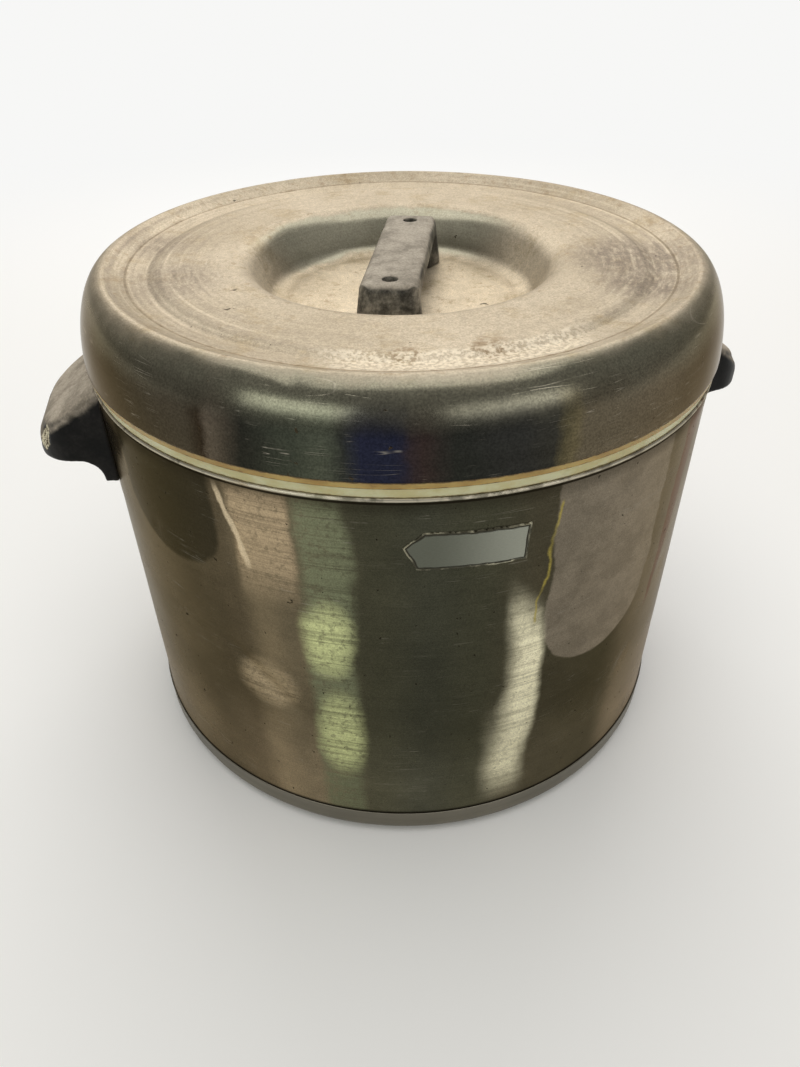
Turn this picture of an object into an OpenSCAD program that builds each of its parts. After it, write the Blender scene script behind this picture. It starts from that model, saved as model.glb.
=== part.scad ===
// Insulated rice warmer: a round, foam-filled steel body with an inner pot and a
// foam-filled lid that lifts off. Millimetres. The origin is on the ground at the
// middle of the base, +Z is up, the side handles lie along X and the front is -Y.

/* [Body] */
// Outside diameter of the body shell
body_d = 400; // [380:2:430]
// Height of the body shell's top edge above the ground
shell_top = 278.5; // [250:0.5:310]
// Thickness of the stainless sheet
sheet_t = 0.8; // [0.6:0.1:1]
// Thickness of the foam between the shell and the pot
foam_t = 30.4; // [26:0.2:34]
// Height of the pot's floor above the ground
pot_floor = 36; // [30:1:46]
// Radius between the pot's wall and its floor
pot_corner = 25; // [12:1:40]
// Height of the base pan's rim
base_rim_h = 21; // [18:1:26]
// Radius under the edge of the base pan
base_round = 10; // [6:1:12]
// Rise of the base pan's middle above the ground
base_rise = 6; // [3:1:8]

/* [Rim] */
// Radius of the bead rolled along the shell's top edge
bead_r = 1.2; // [1:0.1:1.6]
// Height of the plastic collar that shows above the shell
collar_show = 5.8; // [4:0.1:7]
// Height of the lid ring that shows under the lid's edge
lid_ring_h = 3.8; // [2.4:0.1:4.4]
// Gap between the collar and the closed lid
lid_gap = 0.2; // [0.1:0.05:0.4]

/* [Lid] */
// Height of the lid's skin from its lower edge to its crest
lid_rise = 46.7; // [44:0.1:52]
// Width of the lid's rounded shoulder, seen from above
shoulder_w = 20.6; // [16:0.2:24]
// Depth of the plug that reaches down into the pot
plug_depth = 26.3; // [18:0.1:34]
// Gap between the plug and the pot's wall
plug_gap = 3; // [2:0.5:5]
// Radius at which the well's rounded lip starts
well_lip_r = 107; // [100:1:114]
// Depth of the well's floor below the plateau
well_depth = 28.6; // [27:0.2:31]
// Turn of the lid from the side handles' line to its own handle, in degrees
lid_turn = 72.2; // [60:0.2:120]

/* [Lid handle] */
// Length of the lid handle at its feet
grip_len = 144; // [138:1:146]
// Width of the lid handle's top
grip_w = 35; // [30:1:36]
// Thickness of the lid handle's top strip
grip_t = 9.7; // [8:0.1:12]
// Distance between the lid handle's two screws
grip_screw_gap = 114; // [110:1:118]
// Radius of the holes over the screw heads
grip_hole_r = 4.6; // [4.4:0.1:5]

/* [Side handles] */
// How far the side handles stand out from the shell
ear_reach = 40.6; // [36:0.2:46]
// Width of a side handle against the shell
ear_w = 95; // [88:1:100]
// Height of the underside of a side handle above its foot's end
ear_step = 15; // [12:0.5:18]
// Height of a side handle's foot above the ground
ear_foot_z = 214.5; // [200:0.5:216]

/* [Nameplate] */
// Width of the blank nameplate
plate_w = 66.7; // [50:0.1:80]
// Height of the blank nameplate
plate_h = 23.4; // [18:0.1:28]
// Length of its pointed left end
plate_point = 10; // [4:0.5:14]
// Sideways place of its middle
plate_x = -6.9; // [-20:0.1:20]
// Height of its middle above the ground
plate_z = 245.2; // [232:0.1:256]

/* [Hidden] */
$fn = 128;

body_r = body_d / 2;
shell_in = body_r - sheet_t;
pot_r = shell_in - foam_t - sheet_t;
pot_flange_w = 18;
pot_lip_round = 3;
pan_foot_out = body_r + sheet_t - base_round;
pan_foot_in = pan_foot_out - 13;
pan_slope = 6;
shell_low = base_round + 1;

collar_top = shell_top + collar_show;
collar_t = 3;
flange_z = collar_top - collar_t;
collar_skirt_h = 11;
skirt_out = body_r - 1.8;
skirt_in = skirt_out - 2.6;
collar_edge = body_r - 0.4;

lid_low = collar_top + lid_gap;
lid_edge = lid_low + lid_ring_h;
crest_z = lid_edge + lid_rise;
lid_r = body_r + 2.2;
crest_r = lid_r - shoulder_w;
shoulder_drop = lid_rise + 2.3;
hem_w = 1.8;
hem_round = 1;
ridge_round = 3;
ridge_angle = 24;
crease_r = crest_r - 12.2;
crease_z = crest_z - 5.1;
groove_r = crest_r - 24;
groove_z = crest_z - 6.4;
plateau_r = crest_r - 31.6;
well_top = crest_z - 4.4;
well_floor = well_top - well_depth;
lip_round = 16;
well_fillet = 12;
well_angle = 62;
well_floor_r = 75;

plug_r = pot_r - plug_gap;
plug_low = lid_edge - plug_depth;
plug_round = 12;
pan_turn = 2;
pan_flange_r = body_r - 2.5;
seal_w = 9.4;
seal_in = plug_r + pan_turn + 0.2;
ring_in = seal_in + seal_w + 0.4;
ring_out = lid_r - 0.8;

plug_hole_r = 8;
plug_head_r = 12;
plug_head_t = 2;
plug_stem = 8;

screw_r = 2.5;
screw_hole_r = 2.75;
head_r = 4.2;
head_t = 3.2;
head_z = crest_z - 9;
slot_w = 1.1;
slot_len = 5.2;
slot_deep = 1.4;
grip_top = crest_z - 1.8;
grip_round = 5;
grip_foot_extra = 3;
leg_in = 50;
leg_in_w = 27;
strengthener_t = 1.5;
strengthener_w = 30;
nut_r = 4.6;
nut_t = 5;
grip_screw_len = well_floor - sheet_t - strengthener_t - nut_t - 3;

ear_out = body_r + ear_reach;
ear_under = ear_foot_z + ear_step;
ear_nose_r = 7;
ear_nose = [ear_out - 9.1, ear_under + 15.3];
ear_slope = 33.2;
ear_bead_r = 3.3;
ear_bead = [ear_out - ear_bead_r, ear_under + ear_bead_r];
ear_foot_t = 8;
ear_fillet = 13;
ear_taper = 0.187;
ear_corner = 26;
ear_pocket_in = body_r + 12;
ear_pocket_w = 60;
ear_wall = 7;
insert_r = 4;
insert_y = 37.5;
insert_z = ear_foot_z + 31.5;
insert_x = body_r - 2.6;
insert_len = 11.6;
side_head_r = 4.5;
side_head_t = 3;
side_head_x = body_r - 7.4;
side_screw_len = 13.4;
backing_t = 2;
backing_w = 92;
backing_low = ear_foot_z + 10;
backing_h = 42;

plate_face_t = 0.5;
plate_rim_t = 1;
plate_rim_w = 1.2;

// Points on an arc or ellipse round c, from angle a0 to angle a1
function arc(c, rx, ry, a0, a1, n) =
    [for (i = [0:n]) let (a = a0 + (a1 - a0) * i / n) [c[0] + rx * cos(a), c[1] + ry * sin(a)]];

// Unit vector to the left of the way from p to q
function left_of(p, q) = let (d = q - p) [-d[1], d[0]] / norm(d);

// The path moved by t to the left of its own direction
function beside(path, t) = let (m = len(path) - 1)
    [for (i = [0:m])
        let (a = left_of(path[max(i - 1, 0)], path[max(i, 1)]),
             b = left_of(path[min(i, m - 1)], path[min(i + 1, m)]))
        path[i] + (a + b) * t / (1 + a * b)];

function backwards(path) = [for (i = [len(path) - 1:-1:0]) path[i]];

// A closed outline of a sheet that follows the path
function sheet(path, t) = concat(path, backwards(beside(path, t)));

// Outside of the base pan, from the middle out and up
function base_path() = concat(
    [[0, base_rise], [pan_foot_in - pan_slope, base_rise], [pan_foot_in, 0]],
    arc([pan_foot_out, base_round], base_round, base_round, -90, 0, 10),
    [[body_r + sheet_t, base_rim_h]]);

// Inside of the pot, from the flange in and down
function pot_path() = concat(
    [[pot_r + pot_flange_w, flange_z]],
    arc([pot_r + pot_lip_round, flange_z - pot_lip_round], pot_lip_round, pot_lip_round, 90, 180, 5),
    arc([pot_r - pot_corner, pot_floor + sheet_t + pot_corner], pot_corner, pot_corner, 0, -90, 12),
    [[0, pot_floor + sheet_t]]);

// Outside of the lid's skin, from the hem up over the crest and down into the well
function skin_path() =
    let (c = [crest_r, crest_z - shoulder_drop],
         a0 = asin((lid_edge + hem_round - c[1]) / shoulder_drop),
         wall_r = crest_r + shoulder_w * cos(a0))
    concat(
        [[wall_r - hem_w - hem_round, lid_edge], [wall_r - hem_round, lid_edge]],
        arc(c, shoulder_w, shoulder_drop, a0, 90, 26),
        arc([crest_r, crest_z - ridge_round], ridge_round, ridge_round, 98, 90 + ridge_angle, 2),
        [[crease_r, crease_z], [groove_r, groove_z], [plateau_r, well_top]],
        arc([well_lip_r, well_top - lip_round], lip_round, lip_round, 90, 90 + well_angle, 10),
        arc([well_floor_r, well_floor + well_fillet], well_fillet, well_fillet,
            well_angle - 90, -90, 8),
        [[0, well_floor]]);

// Underside of the lid's inner pan, from the middle out to its flange
function pan_path() = concat(
    [[0, plug_low]],
    arc([plug_r - plug_round, plug_low + plug_round], plug_round, plug_round, -90, 0, 8),
    arc([plug_r + pan_turn, lid_edge - pan_turn], pan_turn, pan_turn, 180, 90, 4),
    [[pan_flange_r, lid_edge]]);

// Two copies, one on each side of the middle along X
module both_ends(gap) {
    for (s = [-1, 1]) translate([s * gap / 2, 0, 0]) children();
}

// Turned with the lid's handle, which lies along X in its own frame
module with_lid() {
    rotate([0, 0, lid_turn]) children();
}

// The upright holes or rods at the lid handle's two screws
module grip_rods(r, low, high) {
    with_lid() both_ends(grip_screw_gap) translate([0, 0, low]) cylinder(r = r, h = high - low);
}

// A rod along X at each screw of the right side handle
module ear_rods(r, x, length) {
    for (s = [-1, 1]) translate([x, s * insert_y, insert_z])
        rotate([0, 90, 0]) cylinder(r = r, h = length);
}

// Puts a right side handle's piece on the left as well as the right
module on_left() {
    rotate([0, 0, 180]) children();
}

module outer_shell() {
    color("silver") difference() {
        union() {
            rotate_extrude() polygon([[shell_in, shell_low], [body_r, shell_low],
                [body_r, shell_top - bead_r], [shell_in, shell_top - bead_r]]);
            rotate_extrude() translate([body_r - sheet_t / 2, shell_top - bead_r + 0.1]) circle(bead_r, $fn = 24);
        }
        ear_rods(screw_hole_r, body_r - 20, 40);
        on_left() ear_rods(screw_hole_r, body_r - 20, 40);
    }
}

module base_pan() {
    color("dimgray") difference() {
        rotate_extrude() polygon(sheet(base_path(), sheet_t));
        cylinder(r = plug_hole_r, h = 3 * base_rise);
    }
}

module base_fill_plug() {
    color("black") {
        translate([0, 0, base_rise - plug_head_t]) cylinder(r = plug_head_r, h = plug_head_t);
        translate([0, 0, base_rise - 0.01]) cylinder(r = plug_hole_r, h = plug_stem);
    }
}

module inner_pot() {
    color("lightgray") rotate_extrude() polygon(sheet(pot_path(), sheet_t));
}

module backing_ring(inner) {
    intersection() {
        translate([0, 0, backing_low]) difference() {
            cylinder(r = shell_in, h = backing_h);
            translate([0, 0, -1]) cylinder(r = inner, h = backing_h + 2);
        }
        translate([body_r / 2, -backing_w / 2, backing_low]) cube([body_r, backing_w, backing_h]);
    }
}

module body_insulation() {
    pan_in = beside(base_path(), sheet_t);
    pot_out = beside(pot_path(), sheet_t);
    last = len(pan_in) - 1;
    color("wheat") difference() {
        rotate_extrude() polygon(concat(
            [for (i = [0:last - 1]) pan_in[i]],
            [[body_r, shell_low], [shell_in, shell_low], [shell_in, shell_top - collar_skirt_h],
             [skirt_in, shell_top - collar_skirt_h], [skirt_in, flange_z - sheet_t]],
            pot_out));
        translate([0, 0, base_rise - 1]) cylinder(r = plug_hole_r, h = plug_stem + 1);
        for (a = [0, 180]) rotate([0, 0, a]) {
            backing_ring(shell_in - backing_t);
            ear_rods(side_head_r, side_head_x - side_head_t, 12);
        }
    }
}

module rim_collar() {
    color("khaki") rotate_extrude() polygon([
        [pot_r + pot_lip_round, flange_z], [pot_r + pot_lip_round, collar_top - 1],
        [pot_r + pot_lip_round + 1, collar_top], [collar_edge - 0.8, collar_top],
        [collar_edge, collar_top - 0.8], [collar_edge, shell_top + 0.2], [skirt_out, shell_top + 0.2],
        [skirt_out, shell_top - collar_skirt_h], [skirt_in, shell_top - collar_skirt_h],
        [skirt_in, flange_z]]);
}

function plate_outline(in) = let (w = plate_w / 2 - in, h = plate_h / 2 - in, p = plate_point) [
    [-w - in * 0.2, 3.2], [p - w, h], [w, h], [w, -h], [p * 0.7 - w, -h]];

module plate_layer(outline, depth) {
    intersection() {
        difference() {
            translate([0, 0, plate_z - plate_h]) cylinder(r = body_r + depth, h = 2 * plate_h);
            cylinder(r = body_r, h = shell_top);
        }
        translate([plate_x, 0, plate_z]) rotate([90, 0, 0])
            linear_extrude(2 * body_r) polygon(outline);
    }
}

module nameplate() {
    color("gainsboro") union() {
        plate_layer(plate_outline(0), plate_face_t);
        difference() {
            plate_layer(plate_outline(0), plate_rim_t);
            translate([plate_x, 0, plate_z]) rotate([90, 0, 0])
                linear_extrude(2 * body_r) polygon(plate_outline(plate_rim_w));
        }
    }
}

// Side view of a side handle: sloping top, round nose, bead along the lower edge
function ear_side() = let (a = 90 - ear_slope,
        top = ear_nose + ear_nose_r * [cos(a), sin(a)], back = body_r - 20) concat(
    [[back, top[1] + (top[0] - back) * tan(ear_slope)]],
    arc(ear_nose, ear_nose_r, ear_nose_r, a, 0, 6),
    [[ear_nose[0] + ear_nose_r, ear_nose[1] - 6]],
    arc(ear_bead, ear_bead_r, ear_bead_r, 75, -90, 8),
    [[back, ear_under]]);

// Side view of the pocket for the fingers, open below
function ear_pocket() = let (x1 = ear_nose[0] + ear_nose_r - ear_wall, z1 = ear_nose[1] - 2,
        x0 = ear_pocket_in) [
    [x0, ear_foot_z - 1], [x0, z1 + (x1 - x0) * tan(ear_slope)], [x1 - 2, z1 + 1.4], [x1, z1 - 2],
    [x1, ear_foot_z - 1]];

// Seen from above: sides that draw in, and round corners
function ear_plan() = let (half = ear_w / 2, cx = ear_out - ear_corner + 0.1,
        cy = half - (cx - body_r) * ear_taper - ear_corner + 0.4, back = body_r - 20,
        side = arc([cx, cy], ear_corner, ear_corner, 79, 0, 8)) concat(
    [[back, half + 20 * ear_taper]], side,
    [for (p = backwards(side)) [p[0], -p[1]]], [[back, -half - 20 * ear_taper]]);

module right_handle() {
    color("#2b2926") difference() {
        intersection() {
            union() {
                translate([0, ear_w, 0]) rotate([90, 0, 0]) linear_extrude(2 * ear_w) polygon(ear_side());
                rotate_extrude() polygon(concat(
                    [[body_r - 9, ear_foot_z], [body_r + ear_foot_t, ear_foot_z]],
                    arc([body_r + ear_foot_t + ear_fillet, ear_under - ear_fillet],
                        ear_fillet, ear_fillet, 180, 90, 8),
                    [[body_r + ear_foot_t + ear_fillet, ear_under + 2], [body_r - 9, ear_under + 2]]));
            }
            linear_extrude(shell_top - 2 * bead_r - 0.2) polygon(ear_plan());
        }
        cylinder(r = body_r, h = shell_top);
        translate([0, ear_pocket_w / 2, 0]) rotate([90, 0, 0])
            linear_extrude(ear_pocket_w) polygon(ear_pocket());
        ear_rods(insert_r, insert_x - 3, insert_len + 3);
    }
}

module left_handle() {
    on_left() right_handle();
}

module right_handle_inserts() {
    color("goldenrod") difference() {
        ear_rods(insert_r, insert_x, insert_len);
        ear_rods(screw_r, insert_x - 1, insert_len);
    }
}

module left_handle_inserts() {
    on_left() right_handle_inserts();
}

module right_handle_screws() {
    color("lightslategray") {
        ear_rods(screw_r, side_head_x - 0.5, side_screw_len + 0.5);
        ear_rods(side_head_r, side_head_x - side_head_t, side_head_t);
    }
}

module left_handle_screws() {
    on_left() right_handle_screws();
}

module right_backing_plate() {
    color("slategray") difference() {
        backing_ring(shell_in - backing_t);
        ear_rods(screw_hole_r, body_r - 20, 40);
        ear_rods(side_head_r, body_r - 20, 20 + side_head_x - body_r);
    }
}

module left_backing_plate() {
    on_left() right_backing_plate();
}

module lid_skin() {
    color("tan") difference() {
        rotate_extrude() polygon(sheet(skin_path(), sheet_t));
        grip_rods(screw_hole_r, well_floor - 5, well_floor + 5);
    }
}

module lid_inner_pan() {
    color("lightgray") difference() {
        rotate_extrude() polygon(sheet(pan_path(), sheet_t));
        translate([0, 0, plug_low - 1]) cylinder(r = plug_hole_r, h = 4);
    }
}

module strengthener() {
    with_lid() translate([-grip_len / 2, -strengthener_w / 2, well_floor - sheet_t - strengthener_t])
        cube([grip_len, strengthener_w, strengthener_t]);
}

module nut_blanks() {
    with_lid() both_ends(grip_screw_gap)
        translate([0, 0, well_floor - sheet_t - strengthener_t - nut_t])
            cylinder(r = nut_r, h = nut_t, $fn = 6);
}

module lid_insulation() {
    color("wheat") difference() {
        rotate_extrude() polygon(concat(
            beside(skin_path(), sheet_t),
            beside(pan_path(), sheet_t)));
        strengthener();
        nut_blanks();
        grip_rods(screw_hole_r, grip_screw_len, well_floor);
        translate([0, 0, plug_low - 1]) cylinder(r = plug_hole_r, h = plug_stem + 1);
    }
}

module lid_ring() {
    color("goldenrod") rotate_extrude() polygon([
        [ring_in, lid_low], [ring_out - 0.5, lid_low], [ring_out, lid_low + 0.5],
        [ring_out, lid_edge], [ring_in, lid_edge]]);
}

module lid_seal() {
    color("darkgoldenrod") rotate_extrude() polygon([
        [seal_in, lid_low + 1], [seal_in + 1.5, lid_low], [seal_in + seal_w - 1.5, lid_low],
        [seal_in + seal_w, lid_low + 1], [seal_in + seal_w, lid_edge], [seal_in, lid_edge]]);
}

// End view of the lid handle: round upper edges and sides that spread towards the feet
function grip_end() = let (w = grip_w / 2, spread = grip_foot_extra, r = grip_round) concat(
    [[-w - spread, well_floor]],
    arc([r - w, grip_top - r], r, r, 180, 90, 5),
    arc([w - r, grip_top - r], r, r, 90, 0, 5),
    [[w + spread, well_floor]]);

// Side view of the lid handle: a bridge on two legs
function grip_side() = let (e = grip_len / 2, r = grip_round, u = grip_top - grip_t) concat(
    [[-e, well_floor]],
    arc([r + 1.8 - e, grip_top - r], r, r, 180, 90, 5),
    arc([e - 1.8 - r, grip_top - r], r, r, 90, 0, 5),
    [[e, well_floor], [leg_in, well_floor], [leg_in - 1, u - 6]],
    arc([leg_in - 7, u - 6], 6, 6, 0, 90, 4),
    arc([7 - leg_in, u - 6], 6, 6, 90, 180, 4),
    [[1 - leg_in, u - 6], [-leg_in, well_floor]]);

// Plan of the lid handle: the legs are narrower on their inner side
function leg_plan() = let (e = grip_len / 2 + 1, w = grip_w / 2 + grip_foot_extra + 1) [
    [leg_in - 2, -leg_in_w / 2], [leg_in + 15, -w], [e, -w], [e, w], [leg_in + 15, w],
    [leg_in - 2, leg_in_w / 2]];

module lid_handle() {
    color("#8c857a") difference() {
        with_lid() intersection() {
            translate([0, grip_w, 0]) rotate([90, 0, 0]) linear_extrude(2 * grip_w) polygon(grip_side());
            rotate([90, 0, 90]) translate([0, 0, -grip_len]) linear_extrude(2 * grip_len)
                polygon(grip_end());
            union() {
                translate([-grip_len, -grip_w, grip_top - grip_t]) cube([2 * grip_len, 2 * grip_w, 2 * grip_t]);
                for (a = [0, 180]) rotate([0, 0, a]) translate([0, 0, well_floor])
                    linear_extrude(grip_top - well_floor) polygon(leg_plan());
            }
        }
        grip_rods(screw_hole_r, well_floor - 1, grip_top);
        grip_rods(grip_hole_r, head_z, grip_top + 1);
    }
}

module lid_handle_screws() {
    color("lightslategray") difference() {
        union() {
            grip_rods(screw_r, grip_screw_len, head_z + 0.5);
            grip_rods(head_r, head_z, head_z + head_t);
        }
        with_lid() both_ends(grip_screw_gap) for (a = [20, 110]) rotate([0, 0, a])
            translate([-slot_len / 2, -slot_w / 2, head_z + head_t - slot_deep])
                cube([slot_len, slot_w, 2 * slot_deep]);
    }
}

module lid_handle_nuts() {
    color("lightslategray") difference() {
        nut_blanks();
        grip_rods(screw_r, well_floor - 20, well_floor);
    }
}

module lid_handle_plate() {
    color("slategray") difference() {
        strengthener();
        grip_rods(screw_hole_r, well_floor - 20, well_floor);
    }
}

module lid_fill_plug() {
    color("khaki") {
        translate([0, 0, plug_low - plug_head_t]) cylinder(r = plug_head_r, h = plug_head_t);
        translate([0, 0, plug_low - 0.01]) cylinder(r = plug_hole_r, h = plug_stem);
    }
}

outer_shell();
base_pan();
base_fill_plug();
inner_pot();
body_insulation();
rim_collar();
nameplate();
left_handle();
right_handle();
left_handle_inserts();
right_handle_inserts();
left_handle_screws();
right_handle_screws();
left_backing_plate();
right_backing_plate();
lid_skin();
lid_inner_pan();
lid_insulation();
lid_ring();
lid_seal();
lid_handle();
lid_handle_screws();
lid_handle_nuts();
lid_handle_plate();
lid_fill_plug();
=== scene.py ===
"""Dresses the insulated rice warmer: worn steel skins, aged rim plastic and phenolic handles.

Every length is in metres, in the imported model's own frame. The side handles lie along X, the
nameplate's side faces -Y, and +Z is up.
"""

import logging
import math
import random
from collections.abc import Callable, Sequence
from dataclasses import dataclass, field
from enum import Enum

import bmesh
import bpy
from mathutils import Matrix, Vector, noise


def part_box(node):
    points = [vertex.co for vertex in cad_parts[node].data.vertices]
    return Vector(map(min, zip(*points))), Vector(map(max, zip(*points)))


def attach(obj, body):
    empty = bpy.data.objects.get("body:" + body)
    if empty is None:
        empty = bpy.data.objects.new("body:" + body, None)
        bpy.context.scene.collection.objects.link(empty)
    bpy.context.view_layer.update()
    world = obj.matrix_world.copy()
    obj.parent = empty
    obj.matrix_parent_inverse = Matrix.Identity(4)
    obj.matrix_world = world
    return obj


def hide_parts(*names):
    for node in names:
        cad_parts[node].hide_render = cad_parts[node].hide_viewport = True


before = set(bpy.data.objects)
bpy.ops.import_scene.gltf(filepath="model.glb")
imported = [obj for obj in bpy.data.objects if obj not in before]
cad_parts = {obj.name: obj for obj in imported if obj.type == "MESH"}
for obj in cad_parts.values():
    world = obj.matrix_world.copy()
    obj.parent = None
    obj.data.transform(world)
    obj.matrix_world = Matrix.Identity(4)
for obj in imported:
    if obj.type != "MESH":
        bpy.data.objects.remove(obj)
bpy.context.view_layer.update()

LOG = logging.getLogger("rice_warmer")

Colour = tuple[float, float, float]
Outline = list[tuple[float, float]]
Socket = bpy.types.NodeSocket
MM = 0.001


class Side(Enum):
    """The two ends of the line through the side handles."""

    LEFT = -1
    RIGHT = 1


class Rides(Enum):
    """The two bodies that a piece can move with."""

    BODY = "body"
    LID = "lid"


class Sketch:
    """One material's node tree, built a node at a time."""

    def __init__(self, name: str) -> None:
        """Starts a material with a single shader.

        Args:
            name: The material's name.
        """
        self.material = bpy.data.materials.new(name)
        self.material.use_nodes = True
        self.tree = self.material.node_tree
        self.tree.nodes.clear()
        output = self.tree.nodes.new("ShaderNodeOutputMaterial")
        self.shader = self.tree.nodes.new("ShaderNodeBsdfPrincipled")
        self.tree.links.new(self.shader.outputs[0], output.inputs["Surface"])
        self.place: Socket = self.add("ShaderNodeTexCoord").outputs["Object"]

    def add(self, kind: str, **settings: object) -> bpy.types.Node:
        """Adds a node.

        Args:
            kind: The node's type name.
            settings: Attributes to set on the node.

        Returns:
            The new node.
        """
        made = self.tree.nodes.new(kind)
        for name, value in settings.items():
            setattr(made, name, value)
        return made

    def feed(self, socket: Socket, value: object) -> None:
        """Links a socket to another one, or sets it to a plain value.

        Args:
            socket: The input to fill.
            value: An output socket, a number, or a colour or vector.
        """
        if isinstance(value, bpy.types.NodeSocket):
            self.tree.links.new(value, socket)
        elif socket.type == "RGBA":
            socket.default_value = (*value, 1.0)
        else:
            socket.default_value = value

    def math(self, operation: str, *values: object, clamp: bool = False) -> Socket:
        """Works out one number from others.

        Args:
            operation: The math node's operation.
            values: Sockets or numbers, in order.
            clamp: Whether the result is held between 0 and 1.

        Returns:
            The result's socket.
        """
        made = self.add("ShaderNodeMath", operation=operation, use_clamp=clamp)
        for socket, value in zip(made.inputs, values):
            self.feed(socket, value)
        return made.outputs[0]

    def product(self, *values: object) -> Socket:
        """Multiplies any number of values together."""
        result = values[0]
        for value in values[1:]:
            result = self.math("MULTIPLY", result, value)
        return result

    def vector(self, operation: str, a: object, b: object) -> Socket:
        """Combines two vectors.

        Args:
            operation: The vector math node's operation.
            a: The first vector.
            b: The second vector.

        Returns:
            The resulting vector's socket.
        """
        made = self.add("ShaderNodeVectorMath", operation=operation)
        self.feed(made.inputs[0], a)
        self.feed(made.inputs[1], b)
        return made.outputs[0]

    def parts(self, vector: Socket) -> tuple[Socket, Socket, Socket]:
        """Splits a vector into its three numbers."""
        made = self.add("ShaderNodeSeparateXYZ")
        self.feed(made.inputs[0], vector)
        return made.outputs[0], made.outputs[1], made.outputs[2]

    def join(self, x: object, y: object, z: object) -> Socket:
        """Makes a vector from three numbers."""
        made = self.add("ShaderNodeCombineXYZ")
        for socket, value in zip(made.inputs, (x, y, z)):
            self.feed(socket, value)
        return made.outputs[0]

    def noise(self, place: Socket, scale: float, detail: float = 4.0, rough: float = 0.55) -> Socket:
        """Cloudy noise from 0 to 1.

        Args:
            place: Where to read it.
            scale: Features per metre.
            detail: How many finer layers it has.
            rough: How strong the finer layers are.

        Returns:
            The noise's socket.
        """
        made = self.add("ShaderNodeTexNoise")
        self.feed(made.inputs["Vector"], place)
        made.inputs["Scale"].default_value = scale
        made.inputs["Detail"].default_value = detail
        made.inputs["Roughness"].default_value = rough
        return made.outputs["Fac"]

    def warp(self, place: Socket, scale: float, reach: float) -> Socket:
        """Moves places about by cloudy noise, so that what is drawn there looks ragged.

        Args:
            place: The place to move.
            scale: The noise's features per metre.
            reach: How far the noise moves it.

        Returns:
            The moved place's socket.
        """
        made = self.add("ShaderNodeTexNoise")
        self.feed(made.inputs["Vector"], place)
        made.inputs["Scale"].default_value = scale
        shift = self.vector("SUBTRACT", made.outputs["Color"], (0.5, 0.5, 0.5))
        return self.vector("ADD", place, self.vector("MULTIPLY", shift, (reach, reach, reach)))

    def grain(self, tone: object, scale: float, depth: float) -> Socket:
        """Mottles a colour finely.

        Args:
            tone: The colour.
            scale: The mottling's features per metre.
            depth: How far it goes from the colour, as a share.

        Returns:
            The mottled colour's socket.
        """
        fine = self.step(self.noise(self.place, scale, 3.0, 0.7), 0.34, 0.66)
        low, high = 1.0 - depth, 1.0 + depth
        return self.tint(1.0, tone, self.mix(fine, (low, low, low), (high, high, high)))

    def specks(self, place: Socket, scale: float, size: float, share: float) -> Socket:
        """Scattered spots: 1 inside a spot and 0 between them.

        Args:
            place: Where to read them.
            scale: Cells per metre.
            size: A spot's radius as a share of a cell.
            share: The share of the cells that has a spot.

        Returns:
            The spots' socket.
        """
        cells = self.add("ShaderNodeTexVoronoi")
        self.feed(cells.inputs["Vector"], self.warp(place, 2.6 * scale, 0.7 / scale))
        cells.inputs["Scale"].default_value = scale
        chosen = self.math("LESS_THAN", self.parts(cells.outputs["Color"])[0], share)
        near = self.step(cells.outputs["Distance"], size, size * 0.6)
        return self.math("MULTIPLY", chosen, near)

    def step(self, value: Socket, start: float, end: float) -> Socket:
        """A smooth rise from 0 at start to 1 at end, or a fall where end is the smaller.

        Args:
            value: The number that is judged.
            start: Where the result is 0.
            end: Where the result is 1.

        Returns:
            The result's socket.
        """
        made = self.add("ShaderNodeMapRange", interpolation_type="SMOOTHSTEP")
        self.feed(made.inputs["Value"], value)
        low, high = (start, end) if start < end else (end, start)
        made.inputs["From Min"].default_value = low
        made.inputs["From Max"].default_value = high
        made.inputs["To Min"].default_value = 0.0 if start < end else 1.0
        made.inputs["To Max"].default_value = 1.0 if start < end else 0.0
        return made.outputs["Result"]

    def band(self, value: Socket, low: float, high: float, soft: float) -> Socket:
        """1 between low and high, fading to 0 over a distance of soft outside them."""
        rise = self.step(value, low - soft, low)
        fall = self.step(value, high + soft, high)
        return self.math("MULTIPLY", rise, fall)

    def mix(self, share: object, a: object, b: object) -> Socket:
        """Mixes two colours.

        Args:
            share: How much of b shows.
            a: The colour at 0.
            b: The colour at 1.

        Returns:
            The mixed colour's socket.
        """
        made = self.add("ShaderNodeMix", data_type="RGBA", blend_type="MIX")
        self.feed(made.inputs[0], share)
        self.feed(made.inputs[6], a)
        self.feed(made.inputs[7], b)
        return made.outputs[2]

    def tint(self, share: object, a: object, b: object) -> Socket:
        """Multiplies colour a by colour b, as far as share says."""
        made = self.add("ShaderNodeMix", data_type="RGBA", blend_type="MULTIPLY")
        self.feed(made.inputs[0], share)
        self.feed(made.inputs[6], a)
        self.feed(made.inputs[7], b)
        return made.outputs[2]

    def between(self, share: object, a: object, b: object) -> Socket:
        """Mixes two numbers.

        Args:
            share: How much of b shows.
            a: The number at 0.
            b: The number at 1.

        Returns:
            The mixed number's socket.
        """
        made = self.add("ShaderNodeMix", data_type="FLOAT")
        self.feed(made.inputs[0], share)
        self.feed(made.inputs[2], a)
        self.feed(made.inputs[3], b)
        return made.outputs[0]

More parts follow.
